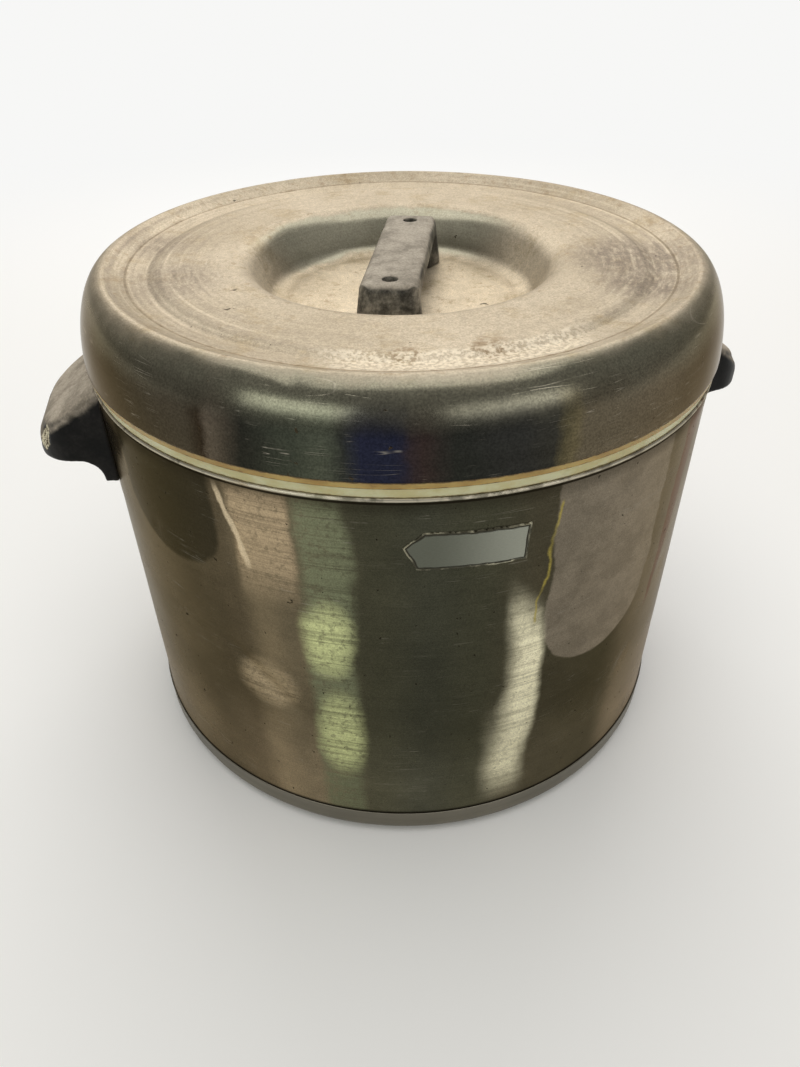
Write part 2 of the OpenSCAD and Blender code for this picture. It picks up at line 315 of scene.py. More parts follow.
    def ramp(self, value: Socket, stops: Sequence[tuple[float, Colour]]) -> Socket:
        """A colour that changes along a number.

        Args:
            value: The number, from 0 to 1.
            stops: Places along it, each with its colour.

        Returns:
            The colour's socket.
        """
        made = self.add("ShaderNodeValToRGB")
        self.feed(made.inputs[0], value)
        made.color_ramp.interpolation = "EASE"
        points = made.color_ramp.elements
        while len(points) < len(stops):
            points.new(0.5)
        for point, (at, colour) in zip(points, stops):
            point.position = at
            point.color = (*colour, 1.0)
        return made.outputs["Color"]

    def around(self) -> tuple[Socket, Socket, Socket]:
        """The place as degrees round the axis, distance from the axis, and height."""
        x, y, z = self.parts(self.place)
        turn = self.math("DEGREES", self.math("ARCTAN2", y, x))
        reach = self.math("SQRT", self.math("ADD", self.product(x, x), self.product(y, y)))
        return turn, reach, z

    def spot(self, centre: Sequence[float], reach: float, soft: float) -> Socket:
        """1 near a point, fading to 0.

        Args:
            centre: The point, in the frame.
            reach: How far the full value goes.
            soft: How much further it takes to fade.

        Returns:
            The spot's socket.
        """
        made = self.add("ShaderNodeVectorMath", operation="DISTANCE")
        self.feed(made.inputs[0], self.place)
        made.inputs[1].default_value = tuple(centre)
        return self.step(made.outputs["Value"], reach + soft, reach)

    def upward(self) -> Socket:
        """How far the surface faces up, from -1 to 1."""
        return self.parts(self.add("ShaderNodeNewGeometry").outputs["Normal"])[2]

    def bump(self, *layers: tuple[Socket, float]) -> None:
        """Raises the surface by the sum of some height layers.

        Args:
            layers: Each layer's socket, from 0 to 1, with its height in metres.
        """
        height: object = 0.0
        for layer, tall in layers:
            height = self.math("MULTIPLY_ADD", layer, tall, height)
        made = self.add("ShaderNodeBump")
        made.inputs["Strength"].default_value = 1.0
        made.inputs["Distance"].default_value = 1.0
        self.feed(made.inputs["Height"], height)
        self.feed(self.shader.inputs["Normal"], made.outputs["Normal"])

    def set(self, **values: object) -> bpy.types.Material:
        """Fills the shader's sockets.

        Args:
            values: A value or socket for each input, by its name with _ for a space.

        Returns:
            The finished material.
        """
        for name, value in values.items():
            self.feed(self.shader.inputs[name.replace("_", " ")], value)
        return self.material


@dataclass(frozen=True)
class RollMarks:
    """The fine marks that rolling and polishing leave round a steel skin."""

    fine: float = 900.0
    coarse: float = 220.0
    along: float = 9.0

    def make(self, s: Sketch) -> Socket:
        """Noise drawn out round the axis.

        Args:
            s: The sketch that gets the nodes.

        Returns:
            The marks' socket, from 0 to 1.
        """
        turn, reach, z = s.around()
        run = s.math("MULTIPLY", turn, math.radians(1.0) * 0.2 * self.along)
        fine = s.noise(s.join(run, s.product(reach, self.fine), s.product(z, self.fine)), 1.0, 3.0)
        coarse = s.noise(s.join(run, s.product(reach, self.coarse), s.product(z, self.coarse)), 1.0, 3.0)
        return s.between(0.5, fine, coarse)


@dataclass(frozen=True)
class Scratches:
    """Hair-thin scratches in a few directions."""

    scale: float = 26.0
    leans: tuple[float, ...] = (12.0, 58.0, -35.0, 95.0)

    def make(self, s: Sketch) -> Socket:
        """Thin lines where stretched noise crosses its middle value.

        Args:
            s: The sketch that gets the nodes.

        Returns:
            The scratches' socket, 1 on a scratch.
        """
        turn, reach, z = s.around()
        run = s.math("MULTIPLY", turn, math.radians(1.0) * 0.2)
        flat = s.join(run, s.math("ADD", z, reach), 0.0)
        total: object = 0.0
        for index, lean in enumerate(self.leans):
            turned = s.add("ShaderNodeMapping")
            s.feed(turned.inputs["Vector"], flat)
            turned.inputs["Rotation"].default_value = (0.0, 0.0, math.radians(lean))
            turned.inputs["Location"].default_value = (index * 3.7, index * 1.3, 0.0)
            turned.inputs["Scale"].default_value = (0.30, 12.0, 1.0)
            line = s.noise(turned.outputs[0], self.scale, 1.0)
            thin = s.step(s.math("ABSOLUTE", s.math("SUBTRACT", line, 0.5)), 0.0045, 0.0008)
            where = s.step(s.noise(flat, 24.0 + 9.0 * index, 3.0), 0.56, 0.66)
            total = s.math("MAXIMUM", total, s.product(thin, where))
        return total


@dataclass(frozen=True)
class ShellSteel:
    """The body's old stainless skin, scratched and pitted, with painted reflections in its colour: pale and dark bands
    round its turn, and patches over them.
    """

    name: str = "shell steel"
    # Painted reflections: the skin's colour at each angle round the axis, standing in for what it mirrors.
    bands: tuple[tuple[float, Colour], ...] = (
        (-180.0, (0.150, 0.125, 0.085)),
        (-162.0, (0.135, 0.112, 0.076)),
        (-150.0, (0.120, 0.100, 0.067)),
        (-138.0, (0.082, 0.069, 0.046)),
        (-130.0, (0.092, 0.076, 0.050)),
        (-125.0, (0.175, 0.144, 0.093)),
        (-119.0, (0.135, 0.114, 0.075)),
        (-107.0, (0.058, 0.058, 0.039)),
        (-98.0, (0.050, 0.052, 0.038)),
        (-90.0, (0.052, 0.053, 0.036)),
        (-80.0, (0.058, 0.053, 0.036)),
        (-62.0, (0.052, 0.048, 0.033)),
        (-53.0, (0.150, 0.125, 0.088)),
        (-43.0, (0.190, 0.155, 0.110)),
        (-20.0, (0.120, 0.100, 0.070)),
        (15.0, (0.075, 0.066, 0.047)),
        (50.0, (0.200, 0.178, 0.130)),
        (85.0, (0.070, 0.066, 0.046)),
        (130.0, (0.160, 0.140, 0.100)),
        (180.0, (0.150, 0.125, 0.085)),
    )
    top: float = 0.2785

    def make(self) -> bpy.types.Material:
        """Builds the material."""
        s = Sketch(self.name)
        turn, _, z = s.around()
        wander = s.math("SUBTRACT", s.noise(s.place, 14.0, 5.0, 0.6), 0.5)
        bent = s.math("MULTIPLY_ADD", wander, 6.0, turn)
        share = s.math("DIVIDE", s.math("ADD", bent, 180.0), 360.0)
        # Lays the painted reflection bands round the turn.
        tone = s.ramp(share, [((at + 180.0) / 360.0, colour) for at, colour in self.bands])
        marks = RollMarks().make(s)
        cloud = s.noise(s.place, 26.0, 6.0, 0.6)
        # Painted reflection of the pale floor: the colour doubles towards the foot.
        tone = s.tint(s.step(z, 0.120, 0.035), tone, (2.00, 1.96, 2.00))
        tone = s.tint(0.80, tone, s.mix(cloud, (0.50, 0.50, 0.49), (1.65, 1.58, 1.48)))
        broken = s.between(s.step(marks, 0.36, 0.56), 0.45, 1.0)
        pitted = s.between(s.step(s.noise(s.place, 300.0, 5.0, 0.7), 0.36, 0.50), 0.45, 1.0)
        tone = self._left_patches(s, tone, bent, z, s.product(broken, pitted))
        tone = self._right_patches(s, tone, bent, z, s.product(broken, pitted))
        tone = s.tint(0.30, tone, s.mix(marks, (0.35, 0.35, 0.35), (1.65, 1.65, 1.65)))
        tone = s.grain(tone, 1100.0, 0.16)
        scratches = Scratches().make(s)
        tone = s.mix(s.product(scratches, 0.22), tone, (0.50, 0.46, 0.38))
        pits = s.math("MAXIMUM", s.specks(s.place, 210.0, 0.15, 0.12), s.specks(s.place, 80.0, 0.10, 0.20))
        # Edge holds the painted shade under the rim; foot is a painted shadow line just above the base pan.
        tone, edge = self._rim_lines(s, tone, z)
        foot = s.step(z, 0.0240, 0.0212)
        dark = s.math("MAXIMUM", s.math("MAXIMUM", s.product(pits, 0.8), edge), foot)
        tone = s.mix(dark, tone, (0.020, 0.016, 0.010))
        rough = s.between(s.noise(s.place, 14.0, 5.0), 0.20, 0.36)
        rough = s.between(s.product(scratches, 0.6), rough, 0.55)
        rough = s.between(dark, rough, 0.7)
        hammered = s.noise(s.place, 95.0, 3.0)
        s.bump((marks, 0.000012), (scratches, -0.00002), (pits, -0.00006), (cloud, 0.00014), (hammered, 0.00003))
        turn_round = s.add("ShaderNodeTangent", direction_type="RADIAL", axis="Z")
        s.feed(s.shader.inputs["Tangent"], turn_round.outputs[0])
        return s.set(
            Base_Color=tone, Metallic=1.0, Roughness=rough, Anisotropic=0.6, Anisotropic_Rotation=0.25,
            Specular_Tint=(0.60, 0.56, 0.49),
        )

    def _rim_lines(self, s: Sketch, tone: Socket, z: Socket) -> tuple[Socket, Socket]:
        """Paints a highlight on the bead along the top edge, and painted shade in the gap below it and under the rim.

        Args:
            s: The sketch that gets the nodes.
            tone: The colour so far.
            z: The height.

        Returns:
            The new colour, and 1 where painted shade lies.
        """
        broken = s.step(s.noise(s.place, 120.0, 5.0), 0.36, 0.52)
        # Painted highlight on the rolled bead.
        bead = s.step(z, self.top - 0.0022, self.top - 0.0016)
        tone = s.mix(s.product(bead, s.between(broken, 0.35, 1.0)), tone, (0.52, 0.48, 0.38))
        # Painted shade: a dark line in the gap below the bead, and soft shade under the rim.
        line = s.band(z, self.top - 0.0036, self.top - 0.0026, 0.0006)
        shade = s.product(s.step(z, 0.264, self.top - 0.002), s.noise(s.place, 60.0, 5.0), 0.8)
        shade_and_grime = s.math("MAXIMUM", s.product(line, 0.95), s.product(shade, s.math("SUBTRACT", 1.0, bead)))
        return tone, shade_and_grime

    def _left_patches(self, s: Sketch, tone: Socket, turn: Socket, z: Socket, broken: Socket) -> Socket:
        """Lays painted reflections left of the nameplate over the bands: a dark patch, tan and green patches and soft
        glows, with a painted highlight along a dent's crease.

        Args:
            s: The sketch that gets the nodes.
            tone: The colour so far.
            turn: The angle round the axis, in degrees.
            z: The height.
            broken: How strongly a patch shows, from its surface's wear.

        Returns:
            The new colour.
        """
        # Painted reflection: a dark tongue hanging from the rim.
        dark_reflection = self._tongue(s, turn, z, (-143.0, 12.5), (0.206, 0.034), 0.10)
        tone = s.mix(s.product(dark_reflection, 0.88), tone, (0.030, 0.027, 0.018))
        # Painted reflection: a tan patch.
        tan = s.product(s.band(turn, -126.5, -118.5, 1.6), s.step(z, 0.190, 0.240), broken)
        tone = s.mix(s.product(tan, 0.9), tone, (0.46, 0.355, 0.225))
        # Painted highlight along a dent's crease.
        crease = s.product(self._strip(s, turn, z, (0.245, -127.3), -70.0, 0.5, 0.0), s.band(z, 0.228, 0.266, 0.010))
        tone = s.mix(s.product(crease, 0.7), tone, (0.75, 0.62, 0.42))
        # Painted reflections: a tan glow low down, a green stripe and two green glows.
        streak = self._glow(s, turn, z, (-126.0, 7.0), (0.131, 0.024))
        tone = s.mix(s.product(streak, broken, 0.8), tone, (0.44, 0.35, 0.22))
        green = s.product(s.band(turn, -115.6, -110.8, 2.4), broken)
        tone = s.mix(s.product(green, 0.85), tone, (0.190, 0.208, 0.125))
        for at, height, tall in ((-113.6, 0.178, 0.034), (-112.6, 0.098, 0.044)):
            glow = self._glow(s, turn, z, (at, 5.2), (height, tall))
            tone = s.mix(s.product(glow, broken), tone, (0.60, 0.64, 0.32))
        return tone

    def _right_patches(self, s: Sketch, tone: Socket, turn: Socket, z: Socket, broken: Socket) -> Socket:
        """Lays painted reflections right of the middle over the bands: the cream band, the brown panel and the yellow
        line. Also lays a red-brown strip.

        Args:
            s: The sketch that gets the nodes.
            tone: The colour so far.
            turn: The angle round the axis, in degrees.
            z: The height.
            broken: How strongly a patch shows, from its surface's wear.

        Returns:
            The new colour.
        """
        # Painted reflection: a brown panel with a round lower end.
        panel = self._tongue(s, turn, z, (-65.5, 12.0), (0.137, 0.036), 0.05)
        brown = s.mix(s.step(turn, -76.0, -56.0), (0.190, 0.163, 0.124), (0.245, 0.208, 0.160))
        tone = s.mix(s.product(panel, 0.92), tone, s.grain(brown, 60.0, 0.12))
        # Painted reflection: a cream band that narrows to a point low down.
        low = s.step(z, 0.130, 0.050)
        left = s.step(turn, -88.5, -82.5)
        left = s.between(low, s.step(turn, -85.5, -81.0), left)
        right = s.between(low, s.step(turn, -76.6, -78.6), s.step(turn, -76.5, -80.5))
        point = s.step(s.math("MULTIPLY_ADD", turn, 0.004, z), -0.110, -0.150)
        cream = s.product(left, right, point, s.step(z, 0.018, 0.060), s.between(0.5, broken, 1.0))
        tone = s.mix(cream, tone, (0.90, 0.85, 0.61))
        red = self._strip(s, turn, z, (0.255, -44.6), 38.9, 3.2, 23.0)
        tone = s.mix(s.product(red, s.step(z, 0.134, 0.150), 0.95), tone, (0.130, 0.052, 0.030))
        # Painted reflection: a thin swaying yellow line.
        sway = s.math("SUBTRACT", s.noise(s.join(0.0, 0.3, z), 24.0, 1.0), 0.5)
        swayed = s.math("MULTIPLY_ADD", sway, 5.0, turn)
        width = s.noise(s.join(2.0, 0.0, z), 60.0, 1.0)
        yellow = self._strip(s, swayed, z, (0.218, -79.0), 26.0, 0.16, 0.0)
        shown = s.product(yellow, s.band(z, 0.184, 0.262, 0.004), s.between(s.step(width, 0.40, 0.56), 0.35, 0.9))
        return s.mix(shown, tone, (0.38, 0.31, 0.07))

    @staticmethod
    def _tongue(
        s: Sketch, turn: Socket, z: Socket, side: tuple[float, float], end: tuple[float, float], soft: float
    ) -> Socket:
        """A patch that hangs down from the rim and has a round lower end.

        Args:
            s: The sketch that gets the nodes.
            turn: The angle round the axis, in degrees.
            z: The height.
            side: The angle of its middle, and half of its width in degrees.
            end: The height of its lower end, and how tall that end's round part is.
            soft: How soft its edge is.

        Returns:
            1 inside the patch and 0 outside it.
        """
        across = s.math("DIVIDE", s.math("SUBTRACT", turn, side[0]), side[1])
        down = s.math("DIVIDE", s.math("SUBTRACT", end[0] + end[1], z), end[1])
        down = s.math("MAXIMUM", down, 0.0)
        return s.step(s.math("ADD", s.product(across, across), s.product(down, down)), 1.0 + soft, 1.0 - soft)

    @staticmethod
    def _glow(s: Sketch, turn: Socket, z: Socket, side: tuple[float, float], rise: tuple[float, float]) -> Socket:
        """A soft oval patch.

        Args:
            s: The sketch that gets the nodes.
            turn: The angle round the axis, in degrees.
            z: The height.
            side: The angle of its middle, and half of its width in degrees.
            rise: The height of its middle, and half of its height.

        Returns:
            1 in its middle, fading to 0 at its edge.
        """
        across = s.math("DIVIDE", s.math("SUBTRACT", turn, side[0]), side[1])
        up = s.math("DIVIDE", s.math("SUBTRACT", z, rise[0]), rise[1])
        return s.step(s.math("ADD", s.product(across, across), s.product(up, up)), 1.1, 0.05)

    @staticmethod
    def _strip(
        s: Sketch, turn: Socket, z: Socket, at: tuple[float, float], lean: float, half: float, widen: float
    ) -> Socket:
        """A leaning strip with crisp sides.

        Args:
            s: The sketch that gets the nodes.
            turn: The angle round the axis, in degrees.
            z: The height.
            at: A height, and the angle of the strip's middle there.
            lean: How much the middle turns with the height.
            half: Half of its width there, in degrees.
            widen: How much that grows with the height.

        Returns:
            1 inside the strip and 0 outside it.
        """
        rise = s.math("SUBTRACT", z, at[0])
        off = s.math("ABSOLUTE", s.math("SUBTRACT", turn, s.math("MULTIPLY_ADD", rise, lean, at[1])))
        return s.step(s.math("SUBTRACT", off, s.math("MULTIPLY_ADD", rise, widen, half)), 0.25, -0.25)


@dataclass(frozen=True)
class LidSteel:
    """The lid's skin: a pale, dusty film on top, and bare steel round the shoulder whose colour holds painted
    reflections: dark and coloured bands round its turn, paler towards the crest.
    """

    name: str = "lid steel"
    crest: float = 0.1816
    crease: float = 0.1694
    lip: float = 0.099
    # Painted reflections round the shoulder: dark, blue, green and yellow bands by angle.
    bands: tuple[tuple[float, Colour], ...] = (
        (-180.0, (0.060, 0.050, 0.035)),
        (-160.0, (0.045, 0.038, 0.026)),
        (-144.0, (0.050, 0.043, 0.030)),
        (-133.5, (0.052, 0.044, 0.031)),
        (-131.0, (0.026, 0.019, 0.012)),
        (-129.0, (0.090, 0.074, 0.055)),
        (-127.0, (0.060, 0.050, 0.037)),
        (-123.5, (0.020, 0.020, 0.016)),
        (-117.0, (0.040, 0.045, 0.033)),
        (-112.0, (0.062, 0.069, 0.050)),
        (-109.5, (0.028, 0.030, 0.026)),
        (-107.0, (0.017, 0.019, 0.036)),
        (-102.0, (0.016, 0.018, 0.034)),
        (-99.0, (0.032, 0.022, 0.020)),
        (-94.0, (0.020, 0.021, 0.018)),
        (-86.0, (0.026, 0.026, 0.024)),
        (-79.5, (0.030, 0.029, 0.024)),
        (-78.0, (0.120, 0.100, 0.050)),
        (-76.5, (0.105, 0.088, 0.060)),
        (-60.0, (0.110, 0.090, 0.062)),
        (-52.0, (0.085, 0.070, 0.049)),
        (-44.0, (0.045, 0.037, 0.026)),
        (-25.0, (0.095, 0.078, 0.054)),
        (20.0, (0.050, 0.044, 0.032)),
        (80.0, (0.110, 0.098, 0.072)),
        (130.0, (0.045, 0.040, 0.029)),
        (180.0, (0.060, 0.050, 0.035)),
    )

    def make(self) -> bpy.types.Material:
        """Builds the material."""
        s = Sketch(self.name)
        turn, reach, z = s.around()
        marks = RollMarks(fine=700.0, coarse=160.0, along=5.0).make(s)
        cloud = s.noise(s.place, 13.0, 6.0, 0.6)
        fine = s.noise(s.place, 150.0, 6.0, 0.7)
        run = s.math("MULTIPLY", turn, math.radians(1.0) * 0.15)
        swept = s.noise(s.join(s.product(run, 110.0), s.product(reach, 330.0), 0.0), 1.0, 6.0, 0.72)
        wobble = s.math("SUBTRACT", s.noise(s.place, 22.0, 7.0, 0.7), 0.5)
        beside = s.math("POWER", s.math("ABSOLUTE", s.math("COSINE", s.math("RADIANS", turn))), 2.0)
        edge = s.math("SUBTRACT", s.math("MULTIPLY_ADD", wobble, 0.016, reach), s.product(beside, 0.006))
        film = s.step(edge, self.crest + 0.009, self.crest - 0.005)
        # Painted reflection: the well's far wall is darker, with less film.
        bare = self._far_wall_reflection(s, reach)
        film = s.math("MULTIPLY", film, s.math("SUBTRACT", 1.0, s.product(bare, 0.75)))
        share = s.math("DIVIDE", s.math("ADD", s.math("MULTIPLY_ADD", wobble, 6.0, turn), 180.0), 360.0)
        side = s.ramp(share, [((at + 180.0) / 360.0, colour) for at, colour in self.bands])
        # Painted reflection: the shoulder paler towards the crest.
        side = s.mix(s.step(s.math("MULTIPLY_ADD", wobble, 0.014, z), 0.310, 0.334), side, (0.205, 0.198, 0.150))
        # The painted reflection's colour on the far wall.
        side = s.mix(bare, side, (0.300, 0.300, 0.235))
        side = s.tint(0.6, side, s.mix(cloud, (0.5, 0.5, 0.48), (1.6, 1.57, 1.5)))
        side = s.tint(0.40, side, s.mix(marks, (0.3, 0.3, 0.3), (1.7, 1.7, 1.7)))
        side = s.grain(side, 900.0, 0.22)
        smudge = s.product(self._smudges(s), s.step(swept, 0.30, 0.60))
        top = self._dust(s, turn, reach, cloud, marks, swept, beside)
        top = s.mix(s.product(smudge, 0.80), top, (0.250, 0.205, 0.165))
        top = s.grain(s.grain(top, 1000.0, 0.17), 260.0, 0.07)
        tone = s.mix(film, side, top)
        rust = self._rust(s, reach, fine)
        tone = s.mix(rust, tone, (0.235, 0.150, 0.070))
        # Painted highlight: a pale band just inside the crease at the front.
        bright = s.product(s.band(reach, self.crease - 0.018, self.crease - 0.004, 0.005),
                           s.spot((0.0, -0.155, 0.331), 0.050, 0.035),
                           s.step(s.noise(s.place, 420.0, 3.0), 0.40, 0.60))
        tone = s.mix(s.product(bright, 0.6), tone, (0.84, 0.76, 0.61))
        flecks = s.math("MAXIMUM", s.specks(s.place, 130.0, 0.10, 0.15), s.specks(s.place, 45.0, 0.075, 0.20))
        tone = s.mix(s.product(flecks, 0.85), tone, (0.045, 0.032, 0.018))
        line = s.band(reach, self.crease - 0.0003, self.crease + 0.0006, 0.0006)
        tone = s.mix(s.product(line, fine, 1.1), tone, (0.16, 0.115, 0.065))
        scratches = Scratches(scale=20.0).make(s)
        tone = s.mix(s.product(scratches, 0.35), tone, (0.66, 0.60, 0.49))
        rough = s.between(film, s.between(cloud, 0.14, 0.28), s.between(cloud, 0.44, 0.58))
        rough = s.between(s.math("MAXIMUM", smudge, rust), rough, 0.65)
        s.bump((marks, 0.000010), (flecks, 0.00012), (rust, 0.00006), (cloud, 0.00010), (scratches, -0.00002))
        turn_round = s.add("ShaderNodeTangent", direction_type="RADIAL", axis="Z")
        s.feed(s.shader.inputs["Tangent"], turn_round.outputs[0])
        metal = s.between(s.product(film, 0.6), 1.0, 0.45)
        return s.set(
            Base_Color=tone, Metallic=metal, Roughness=rough, Anisotropic=0.35, Anisotropic_Rotation=0.25,
            Specular_Tint=(0.70, 0.63, 0.54),
        )

    def _far_wall_reflection(self, s: Sketch, reach: Socket) -> Socket:
        """Where the well's far wall carries less film and a painted dark reflection.

        Args:
            s: The sketch that gets the nodes.
            reach: The distance from the axis.

        Returns:
            1 on the far wall.
        """
        _, y, _ = s.parts(s.place)
        ragged = s.math("MULTIPLY_ADD", s.math("SUBTRACT", s.noise(s.place, 45.0, 5.0), 0.5), 0.014, reach)
        return s.product(s.band(ragged, 0.083, 0.098, 0.005), s.step(y, 0.020, 0.070))

    def _dust(
        self, s: Sketch, turn: Socket, reach: Socket, cloud: Socket, marks: Socket, swept: Socket,
        beside: Socket,
    ) -> Socket:
        """The film on the lid's top, with rings wiped into it at the left and right.

        Args:
            s: The sketch that gets the nodes.
            turn: The angle round the axis, in degrees.
            reach: The distance from the axis.
            cloud: Broad noise.
            marks: The skin's roll marks.
            swept: Noise drawn out round the axis.
            beside: 1 at the left and right, and 0 at the front and back.

        Returns:
            The film's colour.
        """
        top = s.mix(s.step(cloud, 0.3, 0.7), (0.400, 0.340, 0.250), (0.520, 0.450, 0.345))
        floor = s.mix(s.step(cloud, 0.3, 0.7), (0.50, 0.425, 0.31), (0.68, 0.59, 0.45))
        top = s.mix(s.step(reach, 0.104, 0.084), top, floor)
        top = s.tint(0.22, top, s.mix(marks, (0.4, 0.4, 0.4), (1.6, 1.6, 1.6)))
        rings = s.noise(s.join(s.product(turn, 0.006), s.product(reach, 210.0), 0.0), 1.0, 3.0)
        worn = s.step(swept, 0.25, 0.65)
        wiped = s.product(s.step(rings, 0.46, 0.62), s.step(reach, 0.110, 0.140), beside, worn)
        top = s.mix(s.product(wiped, 0.80), top, (0.290, 0.245, 0.190))
        paler = s.product(s.step(rings, 0.48, 0.34), s.step(reach, 0.120, 0.145), beside)
        top = s.mix(s.product(paler, 0.55), top, (0.68, 0.60, 0.46))
        stain = s.product(s.step(s.noise(s.place, 36.0, 7.0, 0.68), 0.50, 0.66), s.step(swept, 0.30, 0.60))
        return s.mix(s.product(stain, 0.60), top, (0.34, 0.265, 0.155))

    @staticmethod
    def _smudges(s: Sketch) -> Socket:
        """The greasy patches at the right and left of the lid's top.

        Args:
            s: The sketch that gets the nodes.

        Returns:
            1 where the grease is.
        """
        right = s.math("MAXIMUM", s.spot((0.138, -0.045, 0.331), 0.018, 0.034),
                       s.spot((0.126, -0.085, 0.331), 0.010, 0.026))
        left = s.math("MAXIMUM", s.spot((-0.142, -0.020, 0.331), 0.008, 0.036),
                      s.spot((-0.150, 0.050, 0.331), 0.006, 0.030))
        return s.math("MAXIMUM", right, s.product(left, 0.65))

    def _rust(self, s: Sketch, reach: Socket, fine: Socket) -> Socket:
        """Rust stains in the creases, on the well's floor and in blots near the front.

        Args:
            s: The sketch that gets the nodes.
            reach: The distance from the axis.
            fine: Fine noise.

        Returns:
            The rust's socket.
        """
        crease = s.product(s.band(reach, self.crease, self.crest, 0.003), s.step(fine, 0.52, 0.66))
        lip = s.product(s.band(reach, self.lip, self.lip + 0.006, 0.005), s.step(fine, 0.55, 0.68))
        floor = s.product(s.step(reach, 0.082, 0.070), s.step(fine, 0.53, 0.70))
        blots = s.math("MAXIMUM", s.spot((-0.028, -0.1475, 0.331), 0.003, 0.008),
                       s.spot((0.0145, -0.150, 0.331), 0.005, 0.012))
        blots = s.product(blots, s.step(fine, 0.42, 0.58))
        spread = s.math("MAXIMUM", s.product(crease, 0.35), s.product(lip, 0.5))
        return s.math("MAXIMUM", s.math("MAXIMUM", spread, s.product(floor, 0.45)), s.product(blots, 0.7))


@dataclass(frozen=True)
class SpunSteel:
    """Plain spun stainless sheet with a little staining."""

    name: str
    dark: Colour
    bright: Colour
    smooth: float = 0.28
    worn: float = 0.45

    def make(self) -> bpy.types.Material:
        """Builds the material."""
        s = Sketch(self.name)
        marks = RollMarks(fine=800.0, coarse=240.0, along=7.0).make(s)
        cloud = s.noise(s.place, 18.0, 5.0)
        tone = s.mix(cloud, self.dark, self.bright)
        tone = s.tint(0.35, tone, s.mix(marks, (0.35, 0.35, 0.35), (1.65, 1.65, 1.65)))
        scratches = Scratches().make(s)
        spots = s.specks(s.place, 120.0, 0.10, 0.10)
        tone = s.mix(s.product(spots, 0.7), tone, (0.09, 0.06, 0.035))
        rough = s.between(cloud, self.smooth, self.worn)
        rough = s.between(s.product(scratches, 0.5), rough, 0.6)
        s.bump((marks, 0.000012), (scratches, -0.00002), (cloud, 0.00006))
        turn_round = s.add("ShaderNodeTangent", direction_type="RADIAL", axis="Z")
        s.feed(s.shader.inputs["Tangent"], turn_round.outputs[0])
        return s.set(
            Base_Color=tone, Metallic=1.0, Roughness=rough, Anisotropic=0.5, Anisotropic_Rotation=0.25
        )


@dataclass(frozen=True)
class RimPlastic:
    """Moulded rim plastic, yellowed, with painted shade along its top and bottom edges where it meets the next parts,
    and grimy blots.
    """

    name: str
    pale: Colour
    deep: Colour
    grime_and_shade_colour: Colour
    low: float
    high: float
    patchy: float

    def make(self) -> bpy.types.Material:
        """Builds the material."""
        s = Sketch(self.name)
        turn, _, z = s.around()
        run = s.math("MULTIPLY", turn, math.radians(1.0) * 0.2)
        along = s.join(run, s.product(z, 2.0), 0.0)
        cloud = s.noise(along, 45.0, 6.0, 0.6)
        tone = s.mix(s.step(cloud, 0.38, 0.62), self.pale, self.deep)
        wobble = s.math("MULTIPLY", s.math("SUBTRACT", s.noise(along, 160.0, 5.0, 0.7), 0.5), 0.0022)
        level = s.math("ADD", z, wobble)
        # Painted shade: a dark band along the top and bottom edges, with grimy blots added below.
        upper = s.step(level, self.high - 0.0010, self.high - 0.0002)
        lower = s.step(level, self.low + 0.0009, self.low + 0.0001)
        blots = s.product(s.step(s.noise(along, 75.0, 6.0, 0.7), 0.56, 0.68), self.patchy)
        shade_and_grime = s.math("MAXIMUM", s.math("MAXIMUM", upper, lower), blots, clamp=True)
        tone = s.mix(s.product(shade_and_grime, 0.85), tone, self.grime_and_shade_colour)
        rough = s.between(shade_and_grime, 0.36, 0.7)
        s.bump((cloud, 0.00006), (shade_and_grime, 0.00008))
        return s.set(Base_Color=tone, Metallic=0.0, Roughness=rough, Subsurface_Weight=0.08)


